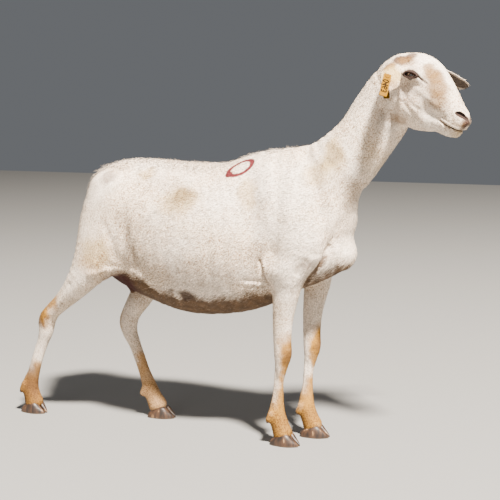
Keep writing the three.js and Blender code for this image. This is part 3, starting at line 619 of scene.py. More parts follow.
# Stains of the coat, and patches of painted shade and painted light: where each lies on her, its reach,
# its colour and its strength.
TAN, RUST, FAWN = (0.38, 0.185, 0.026, 1), (0.105, 0.044, 0.016, 1), (0.23, 0.122, 0.036, 1)
YELLOW, PINK, EARTH = (0.47, 0.315, 0.10, 1), (0.58, 0.34, 0.23, 1), (0.055, 0.029, 0.017, 1)
BROWN, GREY_SHADE_AND_SOIL = (0.075, 0.034, 0.018, 1), (0.19, 0.137, 0.094, 1)
OCHRE, PAINTED_SUNLIT_TAN = (0.21, 0.13, 0.04, 1), (0.62, 0.37, 0.17, 1)
LEATHER, UDDER_SKIN_AND_SHADE = (0.10, 0.048, 0.034, 1), (0.042, 0.007, 0.006, 1)
STAINS_AND_SHADE = [
    ((-80, -134, 590), (66, 60, 48), YELLOW, 0.60), ((-72, -122, 601), (38, 50, 28), OCHRE, 0.65),
    ((-62, 138, 580), (70, 60, 40), YELLOW, 0.45), ((-299, -100, 638), (26, 40, 24), BROWN, 0.60),
    # The grey patches from here down the front of her right thigh are painted shade along its fold.
    ((-196, -80, 648), (26, 40, 16), YELLOW, 0.55), ((-246, -120, 534), (22, 40, 26), GREY_SHADE_AND_SOIL, 0.40),
    ((-300, -124, 545), (50, 40, 46), GREY_SHADE_AND_SOIL, 0.22), ((-225, -123, 500), (16, 40, 28), GREY_SHADE_AND_SOIL, 0.35),
    ((-222, -126, 450), (22, 40, 40), GREY_SHADE_AND_SOIL, 0.35), ((-318, -124, 450), (56, 40, 50), YELLOW, 0.60),
    ((-340, -120, 414), (44, 40, 30), TAN, 0.30), ((-330, 112, 450), (60, 60, 60), YELLOW, 0.55),
    # The grey patch above her left elbow is painted shade.
    ((84, -98, 612), (28, 40, 44), YELLOW, 0.55), ((119, 112, 477), (26, 40, 34), GREY_SHADE_AND_SOIL, 0.45),
    ((282, -58, 700), (34, 40, 48), YELLOW, 0.70), ((284, -54, 704), (22, 30, 28), BROWN, 0.30),
    # The dark brown patch above her right forearm is painted shade in its hollow.
    ((251, -70, 660), (44, 40, 34), YELLOW, 0.55), ((233, -99, 449), (20, 30, 13), BROWN, 0.60),
    # The grey patches behind her right shoulder and low on the front of her neck are painted shade.
    ((108, -122, 590), (30, 40, 60), GREY_SHADE_AND_SOIL, 0.25), ((318, -36, 612), (30, 50, 50), GREY_SHADE_AND_SOIL, 0.35),
    # The grey patch above her right elbow is painted shade, and the two long grey patches, here and on the
    # next line, darken both lower flanks.
    ((119, -112, 477), (24, 30, 32), GREY_SHADE_AND_SOIL, 0.50), ((-20, -150, 410), (170, 50, 52), GREY_SHADE_AND_SOIL, 0.30),
    ((-20, 150, 410), (170, 50, 52), GREY_SHADE_AND_SOIL, 0.30), ((-380, 0, 596), (40, 50, 60), TAN, 0.50),
    # The broad grey patch on her rump is painted shade, and the dark brown patch on her throat under the
    # jaw is a painted shadow of the head.
    ((-390, -70, 570), (90, 70, 110), GREY_SHADE_AND_SOIL, 0.22), ((404, -10, 796), (40, 60, 46), BROWN, 0.45),
    # The rust patch around the udder is its red skin, deepened by painted shade under the belly.
    ((360, 0, 700), (50, 50, 60), YELLOW, 0.35), ((-300, 0, 384), (84, 76, 50), RUST, 0.85),
]
# The knees, fetlocks and pasterns are tan, with rust at their hearts.
for x, side in ((162, -1), (194, 1)):
    STAINS_AND_SHADE += [((x + 13, side * 60, 230), (30, 40, 58), TAN, 1.0),
               ((x + 20, side * 60, 218), (20, 34, 40), RUST, 0.7),
               ((x - 8, side * 52, 50), (72, 60, 92), TAN, 1.0),
               ((x - 10, side * 50, 46), (38, 40, 40), RUST, 0.40),
               ((x + 11, side * 56, 150), (20, 34, 70), TAN, 0.95),
               ((x - 2, side * 52, 116), (22, 34, 38), TAN, 0.80)]
# Her left hind foot takes a paler tan with little rust: painted light, for the sun that falls on it.
for x, y, tint, rusty in ((-568, -48, TAN, 0.60), (-258, 50, PAINTED_SUNLIT_TAN, 0.10)):
    STAINS_AND_SHADE += [((x, y, 52), (72, 60, 88), tint, 1.0), ((x - 4, y, 50), (46, 46, 60), RUST, rusty)]
# The pale tan on her left hind pastern is painted light as well.
STAINS_AND_SHADE += [((-548, -54, 128), (16, 30, 30), TAN, 0.8), ((-284, 52, 128), (26, 30, 60), PAINTED_SUNLIT_TAN, 1.0),
           ((-508, -76, 280), (26, 28, 40), TAN, 1.0), ((-478, -82, 310), (24, 24, 26), TAN, 0.9),
           ((-520, -74, 258), (18, 24, 26), RUST, 0.5), ((-556, -60, 92), (28, 34, 52), RUST, 0.65),
           ((-360, 66, 246), (17, 30, 38), TAN, 0.8)]
FACE_STAINS_AND_SHADE = [
    ((124, -30, 99), (16, 22, 13), FAWN, 0.80), ((138, -30, 91), (20, 24, 14), FAWN, 0.80),
    ((150, -27, 86), (24, 24, 18), FAWN, 0.85), ((166, -30, 68), (32, 24, 26), FAWN, 0.85),
    ((176, -33, 46), (28, 24, 24), FAWN, 0.70), ((192, -30, 40), (22, 22, 20), FAWN, 0.35),
    ((150, 32, 76), (36, 24, 28), FAWN, 0.70),
    ((62, -53, 91), (18, 24, 16), BROWN, 0.95), ((65, -38, 97), (18, 20, 15), BROWN, 0.95),
    ((68, -22, 106), (16, 18, 13), BROWN, 0.85), ((74, -40, 94), (24, 28, 16), FAWN, 0.60),
    ((57, -78, 76), (20, 22, 20), FAWN, 0.95), ((60, 46, 92), (30, 26, 16), FAWN, 0.70),
    ((88, -96, 68), (38, 38, 34), YELLOW, 0.85), ((110, -114, 48), (22, 22, 18), FAWN, 0.65),
    ((250, -8, 24), (12, 18, 14), RUST, 0.60), ((250, 8, 24), (12, 18, 14), RUST, 0.55),
    ((249, -6, 18), (8, 12, 16), LEATHER, 0.90), ((246, -8, 8), (8, 10, 12), BROWN, 0.60),
    ((236, -15, 14), (16, 10, 10), TAN, 0.35), ((236, 0, -10), (26, 24, 14), YELLOW, 0.50),
    ((110, -50, 40), (46, 22, 34), PINK, 0.18), ((110, 50, 40), (46, 22, 34), PINK, 0.18),
    # The grey patches above and below her right eye are painted shade in its socket.
    ((92, -30, -36), (30, 30, 16), FAWN, 0.55), ((104, -54, 90), (22, 20, 9), GREY_SHADE_AND_SOIL, 0.35),
    ((108, -54, 58), (20, 14, 9), GREY_SHADE_AND_SOIL, 0.30),
]
FACE_STAINS_AND_SHADE = [(tuple(from_head(centre)), reach, colour, strength)
               for centre, reach, colour, strength in FACE_STAINS_AND_SHADE]
# Stains on the bare skin: two patches of earth under the belly, and the udder's dark red skin, deepened by
# painted shade under the belly.
BARE_STAINS_AND_SHADE = [((-72, -108, 356), (26, 34, 20), EARTH, 0.90),
               ((-108, -106, 366), (16, 30, 12), EARTH, 0.6),
               ((-276, -50, 370), (62, 66, 44), UDDER_SKIN_AND_SHADE, 0.95),
               ((-276, 50, 370), (62, 66, 44), UDDER_SKIN_AND_SHADE, 0.95)]
# The ring of marker paint: its middle, the two ways across it with half its size each way in
# metres, and the blob where the stroke began.
RING_MIDDLE = (50, -62, 667)
RING_WAYS = (((0.80, 0.37, 0.48), 0.031), ((-0.58, 0.68, 0.45), 0.0215))
RING_START = (27, -77, 651)
STRAY = 0.045  # how far the edges of the stains wander, in metres
FACE_STRAY = 0.35  # the share of that wander on the face

markings, given, result = new_group(
    "ewe_markings", {"Dark Skin And Nostril Shade": ("Float", 0.0), "Underside": ("Float", 0.0), "Tone": ("Float", 0.5)},
    {"Colour": ("Color", None)})
place = own_place(markings)
wander = noise(markings, place, 30.0, 4.0, "Color")
wander = vector_maths(markings, "SUBTRACT", wander, (0.5, 0.5, 0.5))
wander = vector_maths(markings, "MULTIPLY", wander, (STRAY, STRAY, STRAY))
strayed = vector_maths(markings, "ADD", place, wander)
wander = vector_maths(markings, "MULTIPLY", wander, (FACE_STRAY, FACE_STRAY, FACE_STRAY))
less_strayed = vector_maths(markings, "ADD", place, wander)
broad = noise(markings, place, 7.0, 5.0)
blotch = noise(markings, place, 45.0, 4.0)
speck = noise(markings, place, 330.0)
colour = mixed(markings, ramp(markings, broad, 0.40, 0.62), (0.96, 0.82, 0.69, 1), (0.93, 0.755, 0.58, 1))
colour = mixed(markings, ramp(markings, blotch, 0.48, 0.70, 0, 0.42), colour, (0.58, 0.48, 0.38, 1))


def stained_and_shaded(colour, oval_patches, where):
    # Lays soft-edged oval stains, and patches of painted shade and light, over a colour.
    for centre, reach, tint, strength in oval_patches:
        away = vector_maths(markings, "SUBTRACT", where, tuple(to_frame(centre)))
        away = vector_maths(markings, "MULTIPLY", away, tuple(1000.0 / r for r in reach))
        away = vector_maths(markings, "LENGTH", away, result="Value")
        colour = mixed(markings, ramp(markings, away, 0.45, 1.20, strength, 0), colour, tint)
    return colour


colour = stained_and_shaded(colour, STAINS_AND_SHADE, strayed)
colour = stained_and_shaded(colour, FACE_STAINS_AND_SHADE, less_strayed)
# The painted ring, a worn and uneven stroke that fades out short of the spine.
from_ring = vector_maths(markings, "SUBTRACT", place, tuple(to_frame(RING_MIDDLE)))
unsteady = maths(markings, "MULTIPLY", maths(markings, "SUBTRACT", broad, 0.5), 0.012)
reaches = []
for way, half in RING_WAYS:
    reach = vector_maths(markings, "DOT_PRODUCT", from_ring, way, "Value")
    reach = maths(markings, "ADD", reach, unsteady)
    reaches.append(maths(markings, "POWER", maths(markings, "DIVIDE", reach, half), 2.0))
line = maths(markings, "SUBTRACT", maths(markings, "SQRT", maths(markings, "ADD", *reaches)), 1.0)
line = ramp(markings, maths(markings, "ABSOLUTE", line), 0.13, 0.30, 1, 0)
line = maths(markings, "MULTIPLY", line, ramp(markings, blotch, 0.30, 0.40))
leftwards = node(markings, "SeparateXYZ", {0: place}).outputs[1]
fade_start, fade_end = (float(to_frame((0, y, 0))[1]) for y in (-38, -30))
line = maths(markings, "MULTIPLY", line, ramp(markings, leftwards, fade_start, fade_end, 1, 0))
blob = vector_maths(markings, "DISTANCE", place, tuple(to_frame(RING_START)), "Value")
line = maths(markings, "MAXIMUM", line, ramp(markings, blob, 0.0075, 0.0130, 1, 0))
colour = mixed(markings, maths(markings, "MULTIPLY", line, 0.98), colour, (0.115, 0.0008, 0.008, 1))
# Fine grey-brown flecks, thicker in some places than in others.
grain = ramp(markings, speck, 0.46, 0.62)
thin = ramp(markings, broad, 0.36, 0.66, 0.50, 1.0)
flecks = maths(markings, "MULTIPLY", grain, thin)
colour = mixed(markings, flecks, colour, (0.44, 0.34, 0.25, 1), "MULTIPLY")
# Bare skin under the belly with its painted shade, then each lock's own tone with painted shade at its
# root, then the dark skin of the face with painted shade inside the nostrils.
uneven = ramp(markings, blotch, 0.35, 0.65)
bare_skin_and_shade = mixed(markings, uneven, (0.112, 0.058, 0.024, 1), (0.068, 0.034, 0.014, 1))
colour = mixed(markings, given.outputs["Underside"], colour, bare_skin_and_shade)
colour = stained_and_shaded(colour, BARE_STAINS_AND_SHADE, strayed)
lock_tone_and_root_shade = ramp(markings, given.outputs["Tone"], 0.0, 1.0, 0.42, 1.18)
colour = mixed(markings, 1.0, colour, lock_tone_and_root_shade, "MULTIPLY")
dark = ramp(markings, given.outputs["Dark Skin And Nostril Shade"], 0.0, 0.92)
colour = mixed(markings, dark, colour, (0.022, 0.011, 0.008, 1))
markings.links.new(colour, result.inputs["Colour"])


def along_limb(run, points):
    # The stretch of a limb nearest to each point, how far along it the point lies, and how far
    # off its middle line, to the side and upwards.
    best = np.full(len(points), 1e9)
    stretch = np.zeros(len(points), int)
    along, aside, above = np.zeros((3, len(points)))
    for i, length in enumerate(run["length"]):
        d = points - run["s"][i, :3]
        k = np.clip(d @ run["t"][i] / length, 0, 1)
        far = np.linalg.norm(d - k[:, None] * length * run["t"][i], axis=1)
        take = far < best
        stretch[take], best[take] = i, far[take]
        along[take] = (k * length)[take]
        aside[take] = (d @ run["b"][i])[take]
        above[take] = (d @ run["n"][i])[take]
    return stretch, along, aside, above


def in_ear(ear, h):
    # Height over the middle of the ear's leaf, and how far across it, from 0 to 1 at the edge.
    stretch, _, aside, above = along_limb(ear, h)
    wide = ear["s"][stretch, 5]
    return above - ear["cup"] * aside ** 2 / wide, np.abs(aside) / wide


def dark_parts(points):
    # How dark the bare skin is: lids, tear line, nostrils, mouth and the inside of the ears, with painted
    # shade inside the nostrils.
    h = in_head(points)
    g = mirrored_left(h)
    u, w, v = g.T
    in_socket = in_eye(g)[2] > 2
    from_mouth = np.abs(v - mouth_height(u))
    # How far off each part is, how dark it is, and where the dark starts to fade and ends.
    dark = np.max([shade * (1 - eased(away, start, end)) for away, shade, start, end in (
        (outside(UPPER_LID, g), 0.95 * in_socket, 1.6, 5.0),
        (outside(LOWER_LID, g), 0.90 * in_socket, 1.2, 3.6),
        (off_line(g, [(118, 55, 79), (124, 50, 76.5), (131, 45.5, 73)]), 0.85, 1.6, 3.6),
        (off_line(g, [(131, 45.5, 73), (140, 40, 68.5)]), 0.55, 1.4, 4.4),
        # Painted shade inside the nostril's hollow.
        (outside(NOSTRIL, g), 0.96, 0.0, 2.4),
        (off_line(g, [(249, 8, 30), (253, 2, 24), (250, 2, 8)]), 0.70, 1.2, 3.2),
        (from_mouth, (0.45 + 0.35 * eased(u, 195, 225)) * eased(u, 186, 196), 0.5, 2.6))], axis=0)
    for ear, inner in ((EARS["left"], 1), (EARS["right"], -1)):
        near = outside(ear, h) < 3
        height, across = in_ear(ear, h[near])
        shade = 0.74 * eased(inner * height, 0.2, 1.6) * (1 - eased(across, 0.50, 0.80))
        dark[near] = np.maximum(dark[near], shade)
    return np.where(np.linalg.norm(h - (110, 0, 40), axis=1) < 230, dark, 0)


def white_edge(x):
    # Height of the lower edge of the white coat along the belly and between the forelegs.
    return np.interp(x, [-260, -228, -198, -160, -127, -95, -48, 20, 85, 130, 200, 236, 256, 274, 299],
                     [396, 395, 392, 368, 360, 356, 355, 357, 367, 380, 394, 410, 424, 434, 442])


# Creases darkened with painted shade: the line, how dark it is, and where it starts to fade and ends.
CREASES = [
    ([(265, 51, 461), (254, 52, 447), (243, 52, 435), (218, 37, 406), (201, 25, 387)], 0.9, 4, 13),
    ([(125, 105, 452), (130, 104, 435), (131, 99, 416), (138, 88, 394)], 0.5, 2, 7),
    ([(100, 96, 388), (122, 86, 386), (140, 85, 385)], 0.35, 1.5, 6),
]


def underside(points, parts):
    # The thinly haired skin under the belly and on the udder, brown partly from earth and partly as
    # painted shade, with painted shade inside the thighs and in the creases.
    wobble = 4 * np.sin(points[:, 0] / 11) + 3 * np.sin(points[:, 0] / 4.3 + points[:, 1] / 9)
    # Below the edge of the white coat: bare skin, brown partly from earth and partly as painted shade.
    below = 1 - eased(points[:, 2] - white_edge(points[:, 0]) - wobble, -15, 13)
    body = np.minimum(parts["trunk"], parts["udder"])
    legs = np.min([parts[name] for name in LEGS], axis=0)
    below = below * eased(legs - body, -4, 8) * (points[:, 0] > -330)
    # Painted shade inside the thighs.
    inner = np.where(points[:, 0] < -150, 1 - eased(np.abs(points[:, 1]), 52, 74), 0)
    inner = inner * (1 - eased(points[:, 2], 380, 430)) * eased(points[:, 2], 270, 350)
    mirrored = mirrored_left(points)
    # Painted shade along the creases of the brisket and elbow.
    creases = [strength * (1 - eased(off_line(mirrored, line), start, end))
               for line, strength, start, end in CREASES]
    return np.clip(np.max([0.95 * below, 0.75 * inner, *creases], axis=0), 0, 1)


def paint(thing, name, values):
    # Stores one number for each vertex, which the material reads by its name.
    layer = thing.data.attributes.new(name, "FLOAT", "POINT")
    layer.data.foreach_set("value", np.asarray(values, np.float32))


def new_material(name, roughness, specular=0.5):
    # A material, its node tree and its shader.
    made = bpy.data.materials.new(name)
    made.use_nodes = True
    shader = made.node_tree.nodes["Principled BSDF"]
    shader.inputs["Roughness"].default_value = roughness
    shader.inputs["Specular IOR Level"].default_value = specular
    return made, made.node_tree, shader


def coat_material(name, roughness, bump, scale):
    # The ewe's markings and painted shade, with fine hairs as bump where they are wanted.
    made, tree, shader = new_material(name, roughness, 0.25)
    marks = node(tree, "Group", node_tree=markings)
    for label, attribute in (("Dark Skin And Nostril Shade", "dark_skin_and_nostril_shade"), ("Underside", "underside"), ("Tone", "tone")):
        value = node(tree, "Attribute", attribute_name=attribute).outputs["Fac"]
        tree.links.new(value, marks.inputs[label])
    tree.links.new(marks.outputs["Colour"], shader.inputs["Base Color"])
    if bump:
        hairs = node(tree, "TexNoise", {"Vector": own_place(tree), "Scale": scale, "Detail": 3.0,
                                        "Distortion": 0.4}).outputs[0]
        roughened(tree, shader, hairs, bump, 0.002)
    return made


hide_material = coat_material("short_coat_on_hide", 0.85, 0.55, 320.0)
skin.data.materials.append(hide_material)
skin_parts = body_parts(skin_points)[0]
paint(skin, "dark_skin_and_nostril_shade", dark_parts(skin_points))
paint(skin, "underside", underside(skin_points, skin_parts))
paint(skin, "tone", np.full(len(skin_points), 0.50))
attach(skin, "root")
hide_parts("head", "neck", "trunk", "tail", "udder", "leg_front_right", "leg_front_left",
            "leg_hind_right", "leg_hind_left", "ear_left", "ear_right")

# ---- coat ----
# Short, dense white hair that grows in small locks. Each lock is rooted in the hide, leans
# the way the coat lies there and tapers to a point, so the coat breaks up the outline of the
# back, belly and legs. It is shortest on the face and feet.
seed = np.random.default_rng(71)


def lie_of_coat(points, parts, h):
    # The way the hair points, blended where one region of the body runs into the next.
    n = len(points)
    ways = {
        "trunk": np.tile((-1.0, 0, -0.42), (n, 1)),
        "neck": np.tile((-0.62, 0, -0.78), (n, 1)),
        "head": np.tile(-HEAD_AXES[0], (n, 1)),
        "tail": np.tile((-0.5, 0, -0.9), (n, 1)),
        "udder": np.tile((-0.8, 0, -0.4), (n, 1)),
    }
    for name in LEGS:
        ways[name] = np.tile((-0.12, 0, -1.0), (n, 1))
    for name, ear in EARS.items():
        way = (ear["s"][-1, :3] - ear["s"][0, :3]) @ HEAD_AXES
        ways["ear_" + name] = np.tile(way / np.linalg.norm(way), (n, 1))
    flow, weight = np.zeros((n, 3)), np.zeros(n)
    for name, way in ways.items():
        w = np.exp(-np.maximum(parts[name], -30) / 10.0)
        flow += w[:, None] * way
        weight += w
    return flow / weight[:, None]


triangles = np.concatenate([skin_faces[:, [0, 1, 2]], skin_faces[:, [0, 2, 3]]])
corners = skin_points[triangles]
face_normals = np.cross(corners[:, 1] - corners[:, 0], corners[:, 2] - corners[:, 0])
areas = 0.5 * np.linalg.norm(face_normals, axis=1)
middles = corners.mean(1)
parts_at = body_parts(middles)[0]
names = list(parts_at)
nearest = np.array(names)[np.argmin(np.stack([parts_at[name] for name in names]), axis=0)]
# Locks to the square centimetre, and each lock's length, width and rise, by region.
GROWTH = {
    "trunk": (13.5, 7.5, 1.15, 0.09), "neck": (14.0, 6.5, 1.05, 0.10), "head": (19.0, 3.6, 0.75, 0.08),
    "tail": (22.0, 15.0, 1.5, 0.50), "udder": (4.0, 4.0, 0.8, 0.15), "leg": (15.0, 5.0, 0.95, 0.09),
    "ear": (20.0, 3.6, 0.75, 0.12),
}
kind_of = np.array([name.split("_")[0] if name.startswith("ear") else
                    ("leg" if name in LEGS else name) for name in nearest])
density = np.array([GROWTH[kind][0] for kind in kind_of]) * areas / 100
bald = dark_parts(middles)
under = underside(middles, parts_at)
density *= np.where((kind_of == "head") & (bald > 0.3), 0.0, 1.0) * (1 - 0.55 * under)
density[middles[:, 2] < 20] = 0
# The edge of the belly's white coat is a thicker fringe.
fringe = np.abs(middles[:, 2] - white_edge(middles[:, 0])) < 12
density[fringe & (kind_of == "trunk") & (middles[:, 0] > -280)] *= 1.7
lock_count = seed.poisson(density)
home = np.repeat(np.arange(len(triangles)), lock_count)
# A random place in each lock's own triangle, and the hide's normal there.
a, b = seed.random(len(home)), seed.random(len(home))
flip = a + b > 1
a[flip], b[flip] = 1 - a[flip], 1 - b[flip]
roots = corners[home, 0] + a[:, None] * (corners[home, 1] - corners[home, 0]) \
    + b[:, None] * (corners[home, 2] - corners[home, 0])
vertex_normals = np.zeros_like(skin_points)
for corner_number in range(3):
    np.add.at(vertex_normals, triangles[:, corner_number], face_normals)
vertex_normals /= np.linalg.norm(vertex_normals, axis=1)[:, None] + 1e-9
ups = vertex_normals[triangles[home, 0]] * (1 - a - b)[:, None] \
    + vertex_normals[triangles[home, 1]] * a[:, None] + vertex_normals[triangles[home, 2]] * b[:, None]
ups /= np.linalg.norm(ups, axis=1)[:, None]
root_parts, _, root_h = body_parts(roots)
flow = lie_of_coat(roots, root_parts, root_h)
x, y, z = roots.T
# The lie wanders slowly over the body, and each lock strays a little of its own.
flow += 0.07 * np.stack([np.sin(z / 61 + x / 87), np.sin(x / 69 - z / 81), np.sin(x / 77 + y / 63)], 1)
flow += seed.normal(0, 0.13, flow.shape)
flow -= (flow * ups).sum(1)[:, None] * ups
flow /= np.linalg.norm(flow, axis=1)[:, None] + 1e-9
growth = np.array([GROWTH[kind] for kind in kind_of[home]])
size = np.clip(seed.normal(1, 0.25, len(home)), 0.5, 1.8)
lengths, widths, rises = growth[:, 1] * size, growth[:, 2] * size ** 0.5, growth[:, 3].copy()
rises *= np.clip(seed.normal(1, 0.4, len(home)), 0.2, 2.5)
on_trunk = kind_of[home] == "trunk"
# Along the back, the rump and the edge of the belly the coat is longer and stands out.
back = eased(ups[:, 2], 0.80, 0.98) * on_trunk
rises += 0.75 * back * seed.random(len(home)) ** 2
edge = np.exp(-((z - white_edge(x)) / 9) ** 2) * on_trunk * (x > -280) * (np.abs(y) > 20)
lengths *= 1 + 0.5 * edge * seed.random(len(home))
rises += 0.16 * edge * seed.random(len(home))
rump = eased(-x, 320, 350) * eased(z, 585, 620) * on_trunk
lengths *= 1 + 1.0 * rump * seed.random(len(home))
rises += 0.8 * rump * seed.random(len(home))
lengths *= 1 - 0.30 * (1 - eased(z, 60, 200)) * (kind_of[home] == "leg")
root_dark = dark_parts(roots)
# White locks and locks in the colour of the bare skin and its painted shade mingle where the coat thins
# out under the belly.
root_under = underside(roots, root_parts)
root_under += 1.6 * root_under * (1 - root_under) * seed.normal(0, 1, len(home))
root_under = np.clip(root_under, 0, 1)
root_tone = np.clip(seed.normal(0.62, 0.42, len(home)), 0, 1)


def locks(name, chosen, unwrap):
    # Bent three-sided spikes, each with its own small patch in the map at its root's place.
    p, n, t = roots[chosen], ups[chosen], flow[chosen]
    length, width, rise = lengths[chosen][:, None], widths[chosen][:, None], rises[chosen][:, None]
    side = np.cross(n, t)
    middle = p + length * 0.45 * (t * np.cos(1.5 * rise) + n * np.sin(1.5 * rise))
    tip = middle + length * 0.55 * (t * np.cos(0.55 * rise) + n * np.sin(0.55 * rise))
    base = p - 0.6 * n
    rings = []
    for centre, scale in ((base, 0.5), (middle, 0.42)):
        rings.append(np.stack([centre - side * width * scale, centre + side * width * scale,
                               centre + n * width * scale * 0.35 + t * width * 0.2], 1))
    points = np.concatenate(rings + [tip[:, None]], 1)
    pattern = []
    for i in range(3):
        j = (i + 1) % 3
        pattern += [(i, j, 3 + j), (i, 3 + j, 3 + i), (3 + i, 3 + j, 6)]
    faces = (np.array(pattern)[None] + 7 * np.arange(len(p))[:, None, None]).reshape(-1, 3)
    thing = new_mesh(name, to_frame(points.reshape(-1, 3)), faces)
    map_at = unwrap(p)
    low, high = map_at.min(0), map_at.max(0)
    map_at = 0.01 + 0.97 * (map_at - low) / (high - low + 1e-9)
    patch = np.array([(0, 0), (1, 0), (0.5, 0.3), (0.1, 0.6), (0.9, 0.6), (0.5, 0.7), (0.5, 1)]) * 0.003
    # The locks are lit as the hide under them is, with only a little of their own roundness.
    lit = np.repeat(n[:, None], 7, axis=1)
    for corner_number, turn in enumerate((-0.6, 0.6, 0, -0.6, 0.6, 0, 0)):
        lit[:, corner_number] += turn * side
    lit /= np.linalg.norm(lit, axis=2)[:, :, None]
    thing.data.normals_split_custom_set_from_vertices(lit.reshape(-1, 3))
    layer = thing.data.uv_layers.new(name="OFBake")
    corner_map = (map_at[:, None] + patch[None]).reshape(-1, 2)[faces.ravel()]
    layer.data.foreach_set("uv", corner_map.astype(np.float32).ravel())
    paint(thing, "dark_skin_and_nostril_shade", np.repeat(root_dark[chosen], 7))
    paint(thing, "underside", np.repeat(root_under[chosen], 7))
    # Painted shade: each lock is darker towards its root.
    shade = np.array([-0.22, -0.22, -0.15, 0.0, 0.0, 0.05, 0.12])  # darker at the root
    paint(thing, "tone", (root_tone[chosen][:, None] + shade).ravel())
    thing.data.materials.append(lock_material)
    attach(thing, "root")
    return thing


def round_axis(run):
    # Unwraps a limb for the map: along it one way, round it the other.
    travelled = np.concatenate([[0], np.cumsum(run["length"])])

    def unwrap(p):
        stretch, along, aside, above = along_limb(run, p)
        return np.stack([travelled[stretch] + along, np.arctan2(aside, above)], 1)
    return unwrap


lock_material = coat_material("short_coat_locks", 0.8, 0.0, 0.0)
home_region = nearest[home]
trunk_like = np.isin(home_region, ["trunk", "tail", "udder"])
# The trunk's coat is split into bands along her length and at the spine.
BANDS = (("rump", -900, -190), ("loin", -190, -30), ("ribs", -30, 100), ("chest", 100, 900))
for end, start, stop in BANDS:
    for side_name, sign in (("right", -1), ("left", 1)):
        inside_band = (roots[:, 0] >= start) & (roots[:, 0] < stop) & (roots[:, 1] * sign >= 0)
        locks(f"coat_{end}_{side_name}", trunk_like & inside_band, round_axis(TRUNK))
locks("coat_neck", home_region == "neck", round_axis(NECK))
for name, leg in LEGS.items():
    locks("coat_leg_" + name, home_region == name, round_axis(leg))
head_unwrap = round_axis(SKULL)
locks("coat_head", home_region == "head", lambda p: head_unwrap(in_head(p)))
for name, ear in EARS.items():
    ear_unwrap = round_axis(ear)
    locks("coat_ear_" + name, home_region == "ear_" + name, lambda p: ear_unwrap(in_head(p)))

# ---- eyes ----
# Wet eyeballs seated behind the lids: a brown-amber iris with a level slot of a pupil, under
# a clear domed cornea that takes a sharp highlight.
IRIS_EDGE, PUPIL_WIDE, PUPIL_TALL = 0.0080, 0.0066, 0.0031  # metres from the eye's own middle
EYEBALL = 13.6  # its radius, in her own millimetres
CORNEA_EDGE, CORNEA_SWELL = 0.72, 0.075  # radians from the eye's axis, and a share of its radius
eye_material, tree, shader = new_material("eye", 0.2, 0.25)
spot = node(tree, "SeparateXYZ", {0: own_place(tree)})


def from_middle(across, up):
    # How far a point of the eye's face lies from its middle, in ovals of this size.
    squares = [maths(tree, "POWER", maths(tree, "DIVIDE", spot.outputs[axis], size), 2.0)
               for axis, size in enumerate((across, up))]
    return maths(tree, "SQRT", maths(tree, "ADD", *squares))


def tube(rings, around):
    # Quads between rings of points that lie one after another.
    return np.array([(i * around + j, i * around + (j + 1) % around,
                      (i + 1) * around + (j + 1) % around, (i + 1) * around + j)
                     for i in range(rings - 1) for j in range(around)])


def placed_at(axes, spot):
    # The matrix that turns a thing to three axes and moves it to a place.
    return Matrix([[axis[r] for axis in axes] + [spot[r]] for r in range(3)] + [[0, 0, 0, 1]])


slot, radius = from_middle(PUPIL_WIDE, PUPIL_TALL), from_middle(1.0, 1.0)
streaks = ramp(tree, noise(tree, own_place(tree), 420.0, 4.0), 0.35, 0.7)
iris = mixed(tree, streaks, (0.040, 0.016, 0.008, 1), (0.115, 0.050, 0.026, 1))
iris = mixed(tree, ramp(tree, radius, IRIS_EDGE, 0.0100), iris, (0.016, 0.008, 0.006, 1))
iris = mixed(tree, ramp(tree, radius, 0.0108, 0.0120), iris, (0.05, 0.026, 0.02, 1))
iris = mixed(tree, ramp(tree, slot, 0.85, 1.05, 1, 0), iris, (0.004, 0.003, 0.003, 1))
tree.links.new(iris, shader.inputs["Base Color"])
shader.inputs["Coat Weight"].default_value = 0.8
shader.inputs["Coat Roughness"].default_value = 0.03
rows, columns = 28, 40
tilt = np.linspace(0, math.pi, rows)[:, None]
turn = np.linspace(0, 2 * math.pi, columns, endpoint=False)[None]
# The cornea swells a little over the iris.
swell = 1 + CORNEA_SWELL * np.clip(1 - (tilt / CORNEA_EDGE) ** 2, 0, 1) * np.ones_like(turn)
ball = np.stack([swell * np.sin(tilt) * np.cos(turn), swell * np.sin(tilt) * np.sin(turn),
                 swell * np.cos(tilt) * np.ones_like(turn)], -1).reshape(-1, 3) * EYEBALL * 0.001
for name, sign in (("left", 1), ("right", -1)):
    eye = new_mesh("eyeball_" + name, ball, tube(rows, columns)[:, ::-1])
    seat = to_frame(from_head(EYE_SEAT * (1, sign, 1) - (0, sign * 1.0, 0)))
    slit = np.array((math.cos(FISSURE), 0, math.sin(FISSURE)))
    look = np.array((0.20, sign * 0.97, 0.06))
    look /= np.linalg.norm(look)
    slit -= (slit @ look) * look
    slit /= np.linalg.norm(slit)
    axes = np.stack([slit, np.cross(look, slit), look]) @ HEAD_AXES
    eye.matrix_world = placed_at(axes, seat)
    eye.data.materials.append(eye_material)
    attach(eye, "root")
    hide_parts("eye_" + name)

# ---- hooves ----
# Two pointed claws to each foot and two blunt dewclaws above the heel, of dark grey-brown
# horn with amber and cream streaks that run down the wall from the hairline.
horn, tree, shader = new_material("horn", 0.48)
where = own_place(tree)
WALL_LEAN = (0, 0.8, 0)  # the streaks follow the sloping wall, in radians


def in_wall(scale):
    # The place along the horn's wall, with the pattern drawn out by a scale for each way.
    return node(tree, "Mapping", {"Vector": where, "Rotation": WALL_LEAN, "Scale": scale}).outputs[0]


